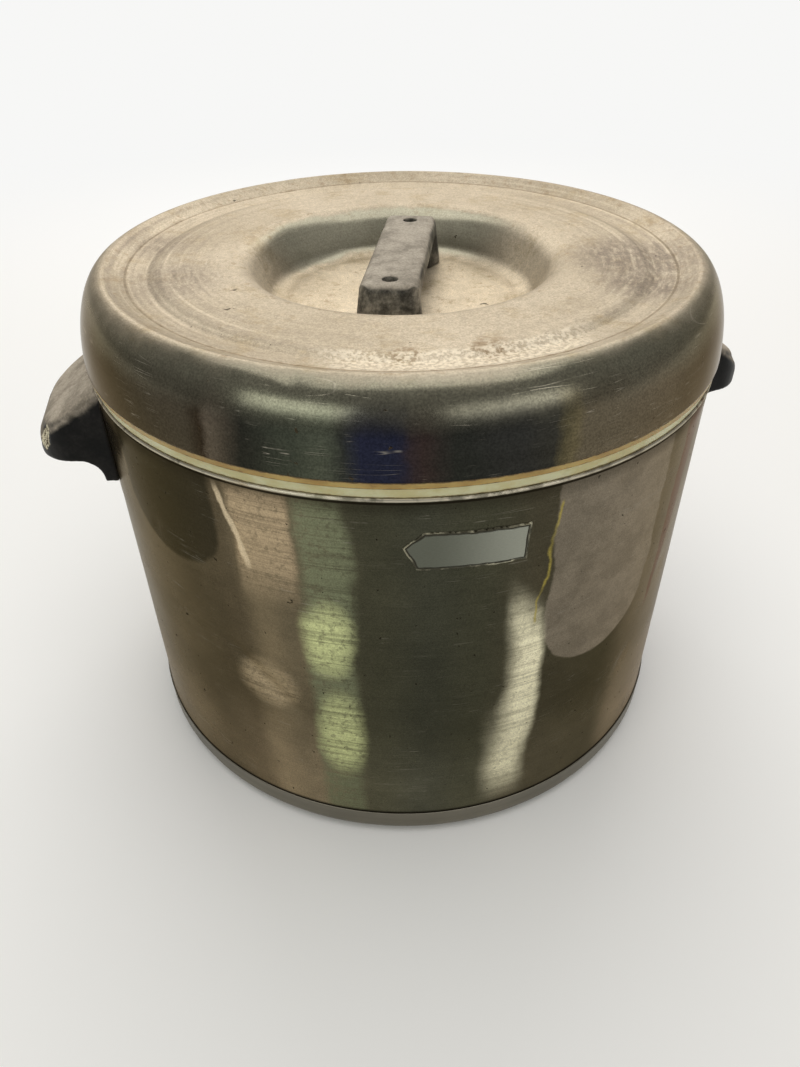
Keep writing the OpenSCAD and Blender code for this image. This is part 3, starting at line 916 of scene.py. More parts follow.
@dataclass(frozen=True)
class Phenolic:
    """Black moulded phenolic that has gone chalky, with dust where it faces up."""

    name: str
    core: Colour
    chalk: Colour
    dust: Colour
    dust_from: float
    dust_to: float
    chip: Colour | None = None

    def make(self) -> bpy.types.Material:
        """Builds the material."""
        s = Sketch(self.name)
        cloud = s.noise(s.place, 55.0, 6.0, 0.62)
        tone = s.mix(s.step(cloud, 0.38, 0.64), self.core, self.chalk)
        tone = s.grain(tone, 420.0, 0.30)
        ragged = s.math("MULTIPLY_ADD", s.math("SUBTRACT", cloud, 0.5), 0.70, s.upward())
        dusty = s.step(ragged, self.dust_from, self.dust_to)
        blotch = s.step(s.noise(s.place, 42.0, 7.0, 0.7), 0.36, 0.60)
        dust = s.tint(0.75, self.dust, s.mix(blotch, (0.55, 0.54, 0.52), (1.2, 1.2, 1.2)))
        dust = s.grain(dust, 700.0, 0.15)
        tone = s.mix(s.product(dusty, 0.92), tone, dust)
        worn = s.step(s.add("ShaderNodeNewGeometry").outputs["Pointiness"], 0.53, 0.60)
        tone = s.mix(s.product(worn, 0.35), tone, self.dust)
        pits = s.specks(s.place, 420.0, 0.16, 0.14)
        tone = s.mix(s.product(pits, 0.6), tone, self.core)
        rough = s.between(dusty, 0.38, 0.78)
        if self.chip is not None:
            ragged_place = s.warp(s.place, 420.0, 0.006)
            gap = s.add("ShaderNodeVectorMath", operation="DISTANCE")
            s.feed(gap.inputs[0], s.vector("MULTIPLY", ragged_place, (1.0, 1.3, 0.72)))
            gap.inputs[1].default_value = (self.chip[0], self.chip[1] * 1.3, self.chip[2] * 0.72)
            broken = s.step(gap.outputs["Value"], 0.0068, 0.0058)
            strands = s.noise(s.vector("MULTIPLY", s.place, (260.0, 1500.0, 500.0)), 1.0, 3.0)
            fibre = s.mix(s.step(strands, 0.40, 0.58), (0.10, 0.075, 0.045), (0.74, 0.68, 0.50))
            tone = s.mix(broken, tone, fibre)
            rough = s.between(broken, rough, 0.9)
        s.bump((cloud, 0.00010), (pits, -0.00008), (s.noise(s.place, 900.0, 3.0), 0.00002))
        return s.set(Base_Color=tone, Metallic=0.0, Roughness=rough, Specular_IOR_Level=0.10)


@dataclass(frozen=True)
class PlatedSteel:
    """Zinc-plated or brass fittings, dulled, with spots of rust or tarnish."""

    name: str
    plate: Colour
    spoiled: Colour
    spread: float = 0.5

    def make(self) -> bpy.types.Material:
        """Builds the material."""
        s = Sketch(self.name)
        cloud = s.noise(s.place, 160.0, 6.0, 0.65)
        spoiled = s.step(cloud, 1.0 - self.spread, 1.08 - self.spread)
        grain = s.noise(s.vector("MULTIPLY", s.place, (300.0, 300.0, 2500.0)), 1.0, 3.0)
        tone = s.mix(s.product(spoiled, 0.8), s.tint(0.4, self.plate, s.mix(grain, (0.5, 0.5, 0.5), (1.4, 1.4, 1.4))),
                     self.spoiled)
        metal = s.between(spoiled, 1.0, 0.3)
        rough = s.between(spoiled, 0.32, 0.75)
        s.bump((cloud, 0.00005), (grain, 0.00001))
        return s.set(Base_Color=tone, Metallic=metal, Roughness=rough)


@dataclass(frozen=True)
class BareBadge:
    """The blank nameplate: a pale brushed face with a painted reflection that pales it towards the right, a dark edge
    with painted highlights in patches, and a darker groove.
    """

    name: str = "bare badge"

    def make(self) -> bpy.types.Material:
        """Builds the material."""
        s = Sketch(self.name)
        turn, _, z = s.around()
        run = s.math("MULTIPLY", turn, math.radians(1.0) * 0.2)
        brushed = s.noise(s.join(s.product(run, 500.0), s.product(z, 2600.0), 0.0), 1.0, 3.0)
        cloud = s.noise(s.place, 70.0, 5.0)
        # Painted reflection: the face paler towards the right.
        face_reflection = s.step(turn, -98.0, -81.5)
        face = s.mix(face_reflection, (0.125, 0.132, 0.105), (0.30, 0.31, 0.26))
        face = s.tint(0.35, face, s.mix(brushed, (0.5, 0.5, 0.5), (1.5, 1.5, 1.5)))
        groove = s.add("ShaderNodeAttribute", attribute_name="groove").outputs["Fac"]
        edge = s.add("ShaderNodeAttribute", attribute_name="edge").outputs["Fac"]
        # Painted highlights in patches along the dark edge.
        rim = s.mix(s.step(cloud, 0.46, 0.62), (0.060, 0.056, 0.038), (0.34, 0.32, 0.23))
        tone = s.mix(edge, face, rim)
        # Darker in the groove, in patches.
        tone = s.mix(s.product(groove, s.step(cloud, 0.20, 0.45)), tone, (0.075, 0.070, 0.052))
        rough = s.between(groove, s.between(cloud, 0.30, 0.45), 0.8)
        s.bump((brushed, 0.000008), (cloud, 0.00004))
        return s.set(Base_Color=tone, Metallic=1.0, Roughness=rough)


@dataclass(frozen=True)
class Foam:
    """Rigid poured foam with small open cells."""

    name: str = "poured foam"

    def make(self) -> bpy.types.Material:
        """Builds the material."""
        s = Sketch(self.name)
        cells = s.noise(s.place, 700.0, 4.0)
        tone = s.mix(s.noise(s.place, 20.0, 4.0), (0.76, 0.62, 0.36), (0.86, 0.75, 0.50))
        tone = s.mix(s.step(cells, 0.60, 0.72), tone, (0.52, 0.38, 0.18))
        s.bump((cells, 0.0004))
        return s.set(Base_Color=tone, Roughness=0.9)


@dataclass(frozen=True)
class SoftRubber:
    """The lid's sealing ring: matte rubber with a few grimy specks."""

    name: str = "seal rubber"

    def make(self) -> bpy.types.Material:
        """Builds the material."""
        s = Sketch(self.name)
        cloud = s.noise(s.place, 80.0, 6.0, 0.65)
        tone = s.mix(s.step(cloud, 0.35, 0.70), (0.30, 0.22, 0.11), (0.46, 0.36, 0.20))
        tone = s.mix(s.product(s.specks(s.place, 220.0, 0.14, 0.2), 0.7), tone, (0.06, 0.045, 0.03))
        s.bump((cloud, 0.0001))
        return s.set(Base_Color=tone, Roughness=s.between(cloud, 0.55, 0.75))


@dataclass(frozen=True)
class StudioFloor:
    """A plain pale floor that stays evenly pale far from the object."""

    name: str = "studio floor"
    pale: Colour = (0.93, 0.93, 0.92)
    near: float = 0.8
    far: float = 2.0

    def make(self) -> bpy.types.Material:
        """Builds the material."""
        s = Sketch(self.name)
        _, reach, _ = s.around()
        path = s.add("ShaderNodeLightPath").outputs
        seen = s.math("MAXIMUM", path["Is Camera Ray"], path["Is Glossy Ray"])
        seen = s.math("MAXIMUM", seen, path["Is Transmission Ray"])
        even = s.product(seen, s.step(reach, self.near, self.far))
        return s.set(
            Base_Color=s.mix(even, self.pale, (0.0, 0.0, 0.0)), Roughness=0.8, Specular_IOR_Level=0.0,
            Emission_Color=self.pale, Emission_Strength=even,
        )


def arc(centre: tuple[float, float], rx: float, ry: float, start: float, end: float, count: int) -> Outline:
    """Points along an ellipse's arc.

    Args:
        centre: Its centre, as distance from the axis and height.
        rx: Its half width.
        ry: Its half height.
        start: The first angle, in degrees.
        end: The last angle, in degrees.
        count: The number of steps.

    Returns:
        The points.
    """
    angles = [math.radians(start + (end - start) * i / count) for i in range(count + 1)]
    return [(centre[0] + rx * math.cos(a), centre[1] + ry * math.sin(a)) for a in angles]


def fine(path: Outline, pitch: float) -> Outline:
    """Splits a path's long runs.

    Args:
        path: The path's corners.
        pitch: The longest run to leave.

    Returns:
        The path with more points.
    """
    made = [path[0]]
    for (r0, z0), (r1, z1) in zip(path, path[1:]):
        count = max(1, math.ceil(math.hypot(r1 - r0, z1 - z0) / pitch))
        made += [(r0 + (r1 - r0) * i / count, z0 + (z1 - z0) * i / count) for i in range(1, count + 1)]
    return made


def normals(path: Outline) -> Outline:
    """The unit normal at each point, to the right of the path's direction."""
    made = []
    for i in range(len(path)):
        (r0, z0), (r1, z1) = path[max(i - 1, 0)], path[min(i + 1, len(path) - 1)]
        run = math.hypot(r1 - r0, z1 - z0) or 1.0
        made.append(((z1 - z0) / run, -(r1 - r0) / run))
    return made


def finish_mesh(name: str, mesh: bpy.types.Mesh, sharp: float = 38.0) -> bpy.types.Object:
    """Turns a mesh into a smooth-shaded object.

    Args:
        name: The piece's name.
        mesh: Its mesh.
        sharp: The angle, in degrees, over which an edge stays sharp.

    Returns:
        The object, linked to the scene.
    """
    mesh.polygons.foreach_set("use_smooth", [True] * len(mesh.polygons))
    mesh.set_sharp_from_angle(angle=math.radians(sharp))
    piece = bpy.data.objects.new(name, mesh)
    bpy.context.scene.collection.objects.link(piece)
    return piece


def spin(
    name: str,
    path: Outline,
    thick: float,
    segments: int,
    shift: Callable[[float, float, float], float] | None = None,
) -> bpy.types.Object:
    """Spins a sheet's outer path round Z, with its inner side beside it.

    Args:
        name: The piece's name.
        path: The outer side, with the outside on the right of its direction.
        thick: The sheet's thickness. At 0, the path itself is closed.
        segments: The number of steps round the axis.
        shift: How far the surface stands out at an angle, a distance from the axis and a height.

    Returns:
        The new piece.
    """
    facing = normals(path)
    rows = [(r, z, nr, nz, 0.0) for (r, z), (nr, nz) in zip(path, facing)]
    if thick:
        rows += [(r, z, nr, nz, -thick) for r, z, nr, nz, _ in reversed(rows)]
    mesh = bmesh.new()
    rings: list[list[bmesh.types.BMVert]] = []
    for r, z, nr, nz, deep in rows:
        if r < 1e-6:
            move = deep + (shift(0.0, r, z) if shift else 0.0)
            rings.append([mesh.verts.new((0.0, 0.0, z + nz * move))] * segments)
            continue
        ring = []
        for i in range(segments):
            angle = 2.0 * math.pi * i / segments
            move = deep + (shift(angle, r, z) if shift else 0.0)
            reach = r + nr * move
            ring.append(mesh.verts.new((reach * math.cos(angle), reach * math.sin(angle), z + nz * move)))
        rings.append(ring)
    for a, b in zip(rings, rings[1:] + rings[:1]):
        for i in range(segments):
            j = (i + 1) % segments
            corners = list(dict.fromkeys((a[i], a[j], b[j], b[i])))
            if len(corners) > 2:
                mesh.faces.new(corners)
    bmesh.ops.recalc_face_normals(mesh, faces=mesh.faces)
    made = bpy.data.meshes.new(name)
    mesh.to_mesh(made)
    mesh.free()
    return finish_mesh(name, made)


def worked(mesh: bpy.types.Mesh, kind: str, **settings: object) -> bpy.types.Mesh:
    """Runs one modifier on a mesh.

    Args:
        mesh: The mesh to start from.
        kind: The modifier's type.
        settings: Attributes to set on the modifier.

    Returns:
        A new mesh with the modifier's result.
    """
    draft = bpy.data.objects.new("draft", mesh)
    bpy.context.scene.collection.objects.link(draft)
    step = draft.modifiers.new("step", kind)
    for name, value in settings.items():
        setattr(step, name, value)
    bpy.context.view_layer.update()
    settled = draft.evaluated_get(bpy.context.evaluated_depsgraph_get())
    made = bpy.data.meshes.new_from_object(settled)
    bpy.data.objects.remove(draft)
    return made


def rounded(a: float, b: float, radius: float) -> tuple[float, float]:
    """How far a point moves in from two faces so that the edge between them is round.

    Args:
        a: How deep the point lies under the first face.
        b: How deep it lies under the second face.
        radius: The edge's radius.

    Returns:
        The move away from each face.
    """
    gap = math.hypot(max(radius - a, 0.0), max(radius - b, 0.0))
    if a >= radius or b >= radius or gap <= radius:
        return 0.0, 0.0
    share = 1.0 - radius / gap
    return (radius - a) * share, (radius - b) * share


def soften(
    name: str, node: str, voxel: float, rounds: int, shape: Callable[[Vector], Vector]
) -> bpy.types.Object:
    """Copies a CAD node's mesh and rounds its edges as a mould would.

    Args:
        name: The new piece's name.
        node: The CAD node whose shape it takes.
        voxel: The size of the new mesh's cells.
        rounds: How many times it is smoothed.
        shape: What moves each of its points before it is smoothed.

    Returns:
        The new piece.
    """
    mesh = bmesh.new()
    mesh.from_mesh(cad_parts[node].data)
    bmesh.ops.remove_doubles(mesh, verts=mesh.verts, dist=1e-6)
    raw = bpy.data.meshes.new(name)
    mesh.to_mesh(raw)
    mesh.free()
    even = worked(raw, "REMESH", mode="VOXEL", voxel_size=voxel)
    for vertex in even.vertices:
        vertex.co = shape(vertex.co)
    made = worked(even, "SMOOTH", factor=0.5, iterations=rounds)
    made.name = name
    made.materials.clear()
    return finish_mesh(name, made, 80.0)


def dress(piece: bpy.types.Object, material: bpy.types.Material) -> None:
    """Gives a piece or a CAD node its one material."""
    piece.data.materials.clear()
    piece.data.materials.append(material)


@dataclass(frozen=True)
class Dent:
    """A knock in a steel skin, as a soft-edged hollow."""

    turn: float
    place: float
    wide: float
    tall: float
    deep: float
    lean: float = 0.0

    def at(self, angle: float, along: float, radius: float) -> float:
        """How far the skin is pushed in at a point.

        Args:
            angle: The point's angle round the axis, in radians.
            along: Its height, or its distance from the axis on the lid.
            radius: The radius that turns the angle into a length.

        Returns:
            The depth there.
        """
        gap = (angle - math.radians(self.turn) + math.pi) % (2.0 * math.pi) - math.pi
        u, v = gap * radius, along - self.place
        if abs(u) + abs(v) > 3.5 * (self.wide + self.tall):
            return 0.0
        c, s = math.cos(math.radians(self.lean)), math.sin(math.radians(self.lean))
        across, up = (u * c + v * s) / self.wide, (v * c - u * s) / self.tall
        return self.deep * math.exp(-across * across - up * up)


def knocks(seed: int, count: int, low: float, high: float, turns: tuple[float, float] = (-180.0, 180.0)) -> list[Dent]:
    """Small chance dents.

    Args:
        seed: What fixes their places.
        count: How many there are.
        low: The lowest place.
        high: The highest place.
        turns: The range of their angles, in degrees.

    Returns:
        The dents.
    """
    chance = random.Random(seed)
    return [
        Dent(
            chance.uniform(*turns), chance.uniform(low, high), chance.uniform(2.5, 9.0) * MM,
            chance.uniform(2.5, 11.0) * MM, chance.uniform(0.05, 0.38) * MM, chance.uniform(-60.0, 60.0),
        )
        for _ in range(count)
    ]


@dataclass
class BodySkin:
    """The body's outer shell, base pan and foam."""

    radius: float = 0.200
    sheet: float = 0.0008
    low: float = 0.011
    top: float = 0.2785
    bead: float = 0.0012
    segments: int = 420
    dents: list[Dent] = field(default_factory=lambda: [
        Dent(-128.0, 0.243, 2.6 * MM, 24.0 * MM, 1.0 * MM, -8.0),
        Dent(-126.0, 0.131, 6.0 * MM, 27.0 * MM, 1.7 * MM, 44.0),
        Dent(-131.0, 0.095, 22.0 * MM, 20.0 * MM, 0.9 * MM),
        Dent(-84.7, 0.203, 4.0 * MM, 6.0 * MM, 1.0 * MM, 30.0),
        Dent(-79.2, 0.220, 2.4 * MM, 40.0 * MM, 0.9 * MM, 2.0),
        Dent(-66.0, 0.190, 34.0 * MM, 48.0 * MM, 1.5 * MM, 6.0),
        Dent(-55.2, 0.102, 4.0 * MM, 9.0 * MM, 0.9 * MM, -30.0),
        Dent(-59.9, 0.075, 5.0 * MM, 12.0 * MM, 1.0 * MM, 15.0),
        Dent(-93.0, 0.070, 30.0 * MM, 26.0 * MM, 0.8 * MM),
        Dent(40.0, 0.120, 18.0 * MM, 24.0 * MM, 1.6 * MM, 20.0),
        Dent(118.0, 0.170, 26.0 * MM, 14.0 * MM, 1.3 * MM, -15.0),
    ])

    def __post_init__(self) -> None:
        """Adds the small chance dents."""
        self.dents = self.dents + knocks(11, 90, 0.035, 0.262)

    def wave(self, angle: float, reach: float, height: float) -> float:
        """The shell's waviness and dents, fading out where it is held at its ends.

        Args:
            angle: The angle round the axis, in radians.
            reach: The distance from the axis.
            height: The height above the ground.

        Returns:
            How far the surface stands out there.
        """
        held = min(1.0, max(0.0, (self.top - 0.006 - height) / 0.012), max(0.0, (height - 0.022) / 0.012))
        if height > 0.205:
            held *= min(1.0, max(0.0, (1.0 - abs(math.cos(angle)) - 0.040) / 0.030))
        if held <= 0.0:
            return 0.0
        spot = Vector((math.cos(angle), math.sin(angle), height / self.radius))
        slow = noise.noise(spot * 3.1) * 0.30 * MM + noise.noise(spot * 9.0) * 0.07 * MM
        knocked = sum(dent.at(angle, height, self.radius) for dent in self.dents)
        return held * (slow - 0.25 * MM - knocked)

    def shell(self) -> bpy.types.Object:
        """The dented outer shell, with the bead rolled along its top edge."""
        bead_at = (self.radius - self.sheet / 2.0, self.top - self.bead + 0.0001)
        path = fine([(self.radius, self.low), (self.radius, self.top - 3.2 * self.bead)], 2.4 * MM)
        path += arc(bead_at, self.bead, self.bead, -55.0, 90.0, 7)
        piece = spin("body_shell", path, self.sheet, self.segments, self.wave)
        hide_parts("outer_shell")
        dress(piece, ShellSteel().make())
        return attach(piece, Rides.BODY.value)

    def foam(self) -> bpy.types.Object:
        """The body's foam, kept back from the dented shell."""
        _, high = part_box("inner_pot")
        pot, back = 0.1692, 0.1955
        path = [(0.001, 0.0085), (0.168, 0.0085), (0.185, 0.004), (0.193, 0.012), (back, 0.020),
                (back, 0.266), (0.1930, 0.268), (0.1930, high.z - 0.003), (pot + 0.004, high.z - 0.003),
                (pot, high.z - 0.006), (pot, 0.062), (0.162, 0.044), (0.144, 0.0355), (0.001, 0.0355)]
        piece = spin("body_foam", path, 0.0, 128)
        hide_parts("body_insulation")
        dress(piece, Foam().make())
        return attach(piece, Rides.BODY.value)

    def foot(self) -> bpy.types.Object:
        """The base pan, with a rolled upper edge and a few flattened places along its foot."""
        edge, outer, corner = 0.021, self.radius + self.sheet, 0.010
        inner_foot = outer - corner - 0.013
        path = [(0.0, 0.006), (inner_foot - 0.006, 0.006), (inner_foot, 0.0)]
        path += arc((outer - corner, corner), corner, corner, -90.0, 0.0, 12)
        path += [(outer, edge - 0.0012)] + arc((outer - 0.0004, edge - 0.0004), 0.0005, 0.0004, 0.0, 90.0, 3)
        bumps = knocks(5, 26, 0.004, 0.018)

        def wave(angle: float, reach: float, height: float) -> float:
            if height < 0.0008 or height > edge - 0.002 or reach < inner_foot:
                return 0.0
            spot = Vector((math.cos(angle), math.sin(angle), height / self.radius))
            pushed = sum(dent.at(angle, height, self.radius) for dent in bumps)
            return (noise.noise(spot * 6.0) - 0.6) * 0.10 * MM - pushed

        piece = spin("base_dish", fine(path, 4.0 * MM), self.sheet * 0.9, self.segments, wave)
        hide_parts("base_pan")
        dress(piece, SpunSteel("base steel", (0.13, 0.12, 0.095), (0.27, 0.25, 0.20), 0.32, 0.50).make())
        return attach(piece, Rides.BODY.value)

    def build(self) -> list[bpy.types.Object]:
        """Builds the body's steel and foam."""
        return [self.shell(), self.foam(), self.foot()]


@dataclass
class Badge:
    """The blank nameplate, raised on the body's front."""

    radius: float = 0.2000
    turn: float = -92.0
    corners: Outline = field(default_factory=lambda: [
        (-0.0334, 0.2484), (-0.0225, 0.2578), (0.0333, 0.2558), (0.0325, 0.2326), (-0.0264, 0.2342),
    ])
    pitch: float = 0.00032
    bead: float = 0.00048
    face: float = 0.00045

    def inset(self, s: float, z: float) -> float:
        """The distance from a point to the plate's outline, above 0 inside it.

        Args:
            s: The point's place along the arc.
            z: Its height.

        Returns:
            The signed distance.
        """
        inside, near = False, 1.0
        for (s0, z0), (s1, z1) in zip(self.corners, self.corners[1:] + self.corners[:1]):
            ds, dz = s1 - s0, z1 - z0
            t = min(1.0, max(0.0, ((s - s0) * ds + (z - z0) * dz) / (ds * ds + dz * dz)))
            near = min(near, math.hypot(s - s0 - t * ds, z - z0 - t * dz))
            if (z0 > z) != (z1 > z) and s < s0 + (z - z0) / dz * ds:
                inside = not inside
        return near if inside else -near

    def profile(self, deep: float) -> tuple[float, float, float]:
        """The plate's section.

        Args:
            deep: The distance in from the outline.

        Returns:
            The height above the shell, how far it is groove, and how far it is edge.
        """
        over = (deep - self.bead) / self.bead
        if deep < 0.0:
            return -0.0006, 0.0, 1.0
        if abs(over) < 1.0:
            return 0.0001 + self.bead * math.sqrt(1.0 - over * over), 0.0, 1.0
        ledge = 2.0 * self.bead + 0.0007
        rise = min(1.0, max(0.0, (deep - ledge) / 0.0004))
        return 0.0001 + self.face * rise, 1.0 - rise, 0.0

    def build(self) -> list[bpy.types.Object]:
        """Builds the plate as a raised sheet that follows the shell."""
        margin = 0.0016
        low_s, high_s = min(s for s, _ in self.corners) - margin, max(s for s, _ in self.corners) + margin
        low_z, high_z = min(z for _, z in self.corners) - margin, max(z for _, z in self.corners) + margin
        across, up = round((high_s - low_s) / self.pitch), round((high_z - low_z) / self.pitch)
        places, grooves, edges = [], [], []
        for j in range(up + 1):
            for i in range(across + 1):
                s, z = low_s + i * self.pitch, low_z + j * self.pitch
                wander = noise.noise(Vector((s * 160.0, z * 160.0, 0.0))) * 0.00060
                height, groove, edge = self.profile(self.inset(s, z) + wander)
                grooves.append(groove)
                edges.append(edge)
                angle = math.radians(self.turn) + s / self.radius
                reach = self.radius + height
                places.append((reach * math.cos(angle), reach * math.sin(angle), z))
        wide = across + 1
        faces = [
            (j * wide + i, j * wide + i + 1, (j + 1) * wide + i + 1, (j + 1) * wide + i)
            for j in range(up) for i in range(across)
        ]
        count = len(places)
        back = [(x * 0.9965, y * 0.9965, z) for x, y, z in places]
        faces += [tuple(count + v for v in reversed(f)) for f in faces]
        border = [*range(wide), *range(2 * wide - 1, count, wide), *range(count - 2, count - wide - 1, -1),
                  *range(count - 2 * wide, 0, -wide)]
        faces += [(b, a, a + count, b + count) for a, b in zip(border, border[1:] + border[:1])]
        mesh = bpy.data.meshes.new("badge")
        mesh.from_pydata(places + back, [], faces)
        for name, values in (("groove", grooves), ("edge", edges)):
            mesh.attributes.new(name, "FLOAT", "POINT").data.foreach_set("value", values + values)
        piece = finish_mesh("badge", mesh, 60.0)
        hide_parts("nameplate")
        dress(piece, BareBadge().make())
        return [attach(piece, Rides.BODY.value)]


@dataclass
class Rim:
    """The cream collar, the pot under it and the plain fittings of the body."""

    def build(self) -> list[bpy.types.Object]:
        """Dresses the body's CAD nodes that keep their shape."""
        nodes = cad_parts
        low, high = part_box("rim_collar")
        collar = RimPlastic("collar plastic", (0.62, 0.58, 0.35), (0.53, 0.46, 0.22), (0.16, 0.10, 0.03),
                            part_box("outer_shell")[1].z, high.z, 0.12)
        dress(nodes["rim_collar"], collar.make())
        dress(nodes["inner_pot"], SpunSteel("pot steel", (0.42, 0.41, 0.38), (0.62, 0.61, 0.58)).make())
        zinc = PlatedSteel("zinc plate", (0.50, 0.50, 0.49), (0.20, 0.12, 0.06), 0.42).make()
        brass = PlatedSteel("turned brass", (0.62, 0.45, 0.17), (0.16, 0.11, 0.05), 0.4).make()
        plug = Phenolic("fill plug", (0.02, 0.02, 0.02), (0.05, 0.05, 0.05), (0.20, 0.18, 0.15), 0.8, 1.2).make()
        dress(nodes["base_fill_plug"], plug)
        for side in ("left", "right"):
            dress(nodes[f"{side}_handle_screws"], zinc)
            dress(nodes[f"{side}_backing_plate"], zinc)
            dress(nodes[f"{side}_handle_inserts"], brass)
        return [nodes["rim_collar"], nodes["inner_pot"], nodes["base_fill_plug"]]


@dataclass
class Ear:
    """One side handle: a hollow phenolic ear with rounded edges."""

    side: Side
    voxel: float = 0.0011
    rounds: int = 9
    shell: float = 0.200
    reach: float = 0.2406
    half: float = 0.0475
    taper: float = 0.187
    corner: float = 0.026
    crown: tuple[float, float] = (0.23533, 0.25066)
    slope: float = 33.2
    edge: float = 0.009
    tuck: float = 0.0004
    chip_at: tuple[float, float, float] = (-0.2335, -0.0340, 0.2440)
    chip_deep: float = 0.0022

    def depth_in_plan(self, x: float, y: float) -> tuple[float, Vector]:
        """How deep a point lies inside the ear's plan, and which way is out.

        Args:
            x: Its distance from the middle of the body, along the handles' line.
            y: Its distance from that line.

        Returns:
            The depth and the direction.
        """
        cx = self.reach - self.corner
        cy = self.half - (cx - self.shell) * self.taper - self.corner
        if x > cx:
            out = Vector((x - cx, max(y - cy, 0.0), 0.0))
            return self.corner - out.length, out.normalized()
        out = Vector((self.taper, 1.0, 0.0)).normalized()
        return (Vector((self.shell, self.half, 0.0)) - Vector((x, y, 0.0))).dot(out), out

    def shaped(self, point: Vector) -> Vector:
        """Rounds the edge between the top and the sides and tucks the back against the shell.

        Args:
            point: A point of the ear.

        Returns:
            Its new place.
        """
        mirror = Vector((self.side.value, math.copysign(1.0, point.y), 1.0))
        here = point * mirror
        lean = math.radians(self.slope)
        top = Vector((math.sin(lean), 0.0, math.cos(lean)))
        under = (Vector((self.crown[0], 0.0, self.crown[1])) - here).dot(top)
        inside, out = self.depth_in_plan(here.x, here.y)
        down, across = rounded(under, inside, self.edge)
        here = here - top * down - out * across
        off = here.xy.length - self.shell
        if off < 3.0 * self.tuck:
            here.xy *= 1.0 - self.tuck * (1.0 - off / (3.0 * self.tuck)) / self.shell
        return here * mirror

    def chip(self, piece: bpy.types.Object) -> None:
        """Breaks a flake off the left ear's outer corner.

        Args:
            piece: The ear.
        """
        centre = Vector(self.chip_at)
        inward = Vector((0.75, 0.45, -0.45)).normalized()
        for vertex in piece.data.vertices:
            gap = (vertex.co - centre).length
            if gap < 0.009:
                rough = 0.6 + 0.8 * noise.noise(vertex.co * 900.0)
                vertex.co += inward * self.chip_deep * max(0.0, 1.0 - (gap / 0.007) ** 2) * rough
        piece.data.update()

    def build(self) -> list[bpy.types.Object]:
        """Builds the ear."""
        word = self.side.name.lower()
        piece = soften(f"{word}_ear", f"{word}_handle", self.voxel, self.rounds, self.shaped)
        left = self.side is Side.LEFT
        if left:
            self.chip(piece)
        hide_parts(f"{word}_handle")
        finish = Phenolic(f"{word} ear phenolic", (0.004, 0.004, 0.0035), (0.011, 0.010, 0.009),
                          (0.43, 0.375, 0.30), 0.22, 0.74, self.chip_at if left else None)
        dress(piece, finish.make())
        return [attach(piece, Rides.BODY.value)]


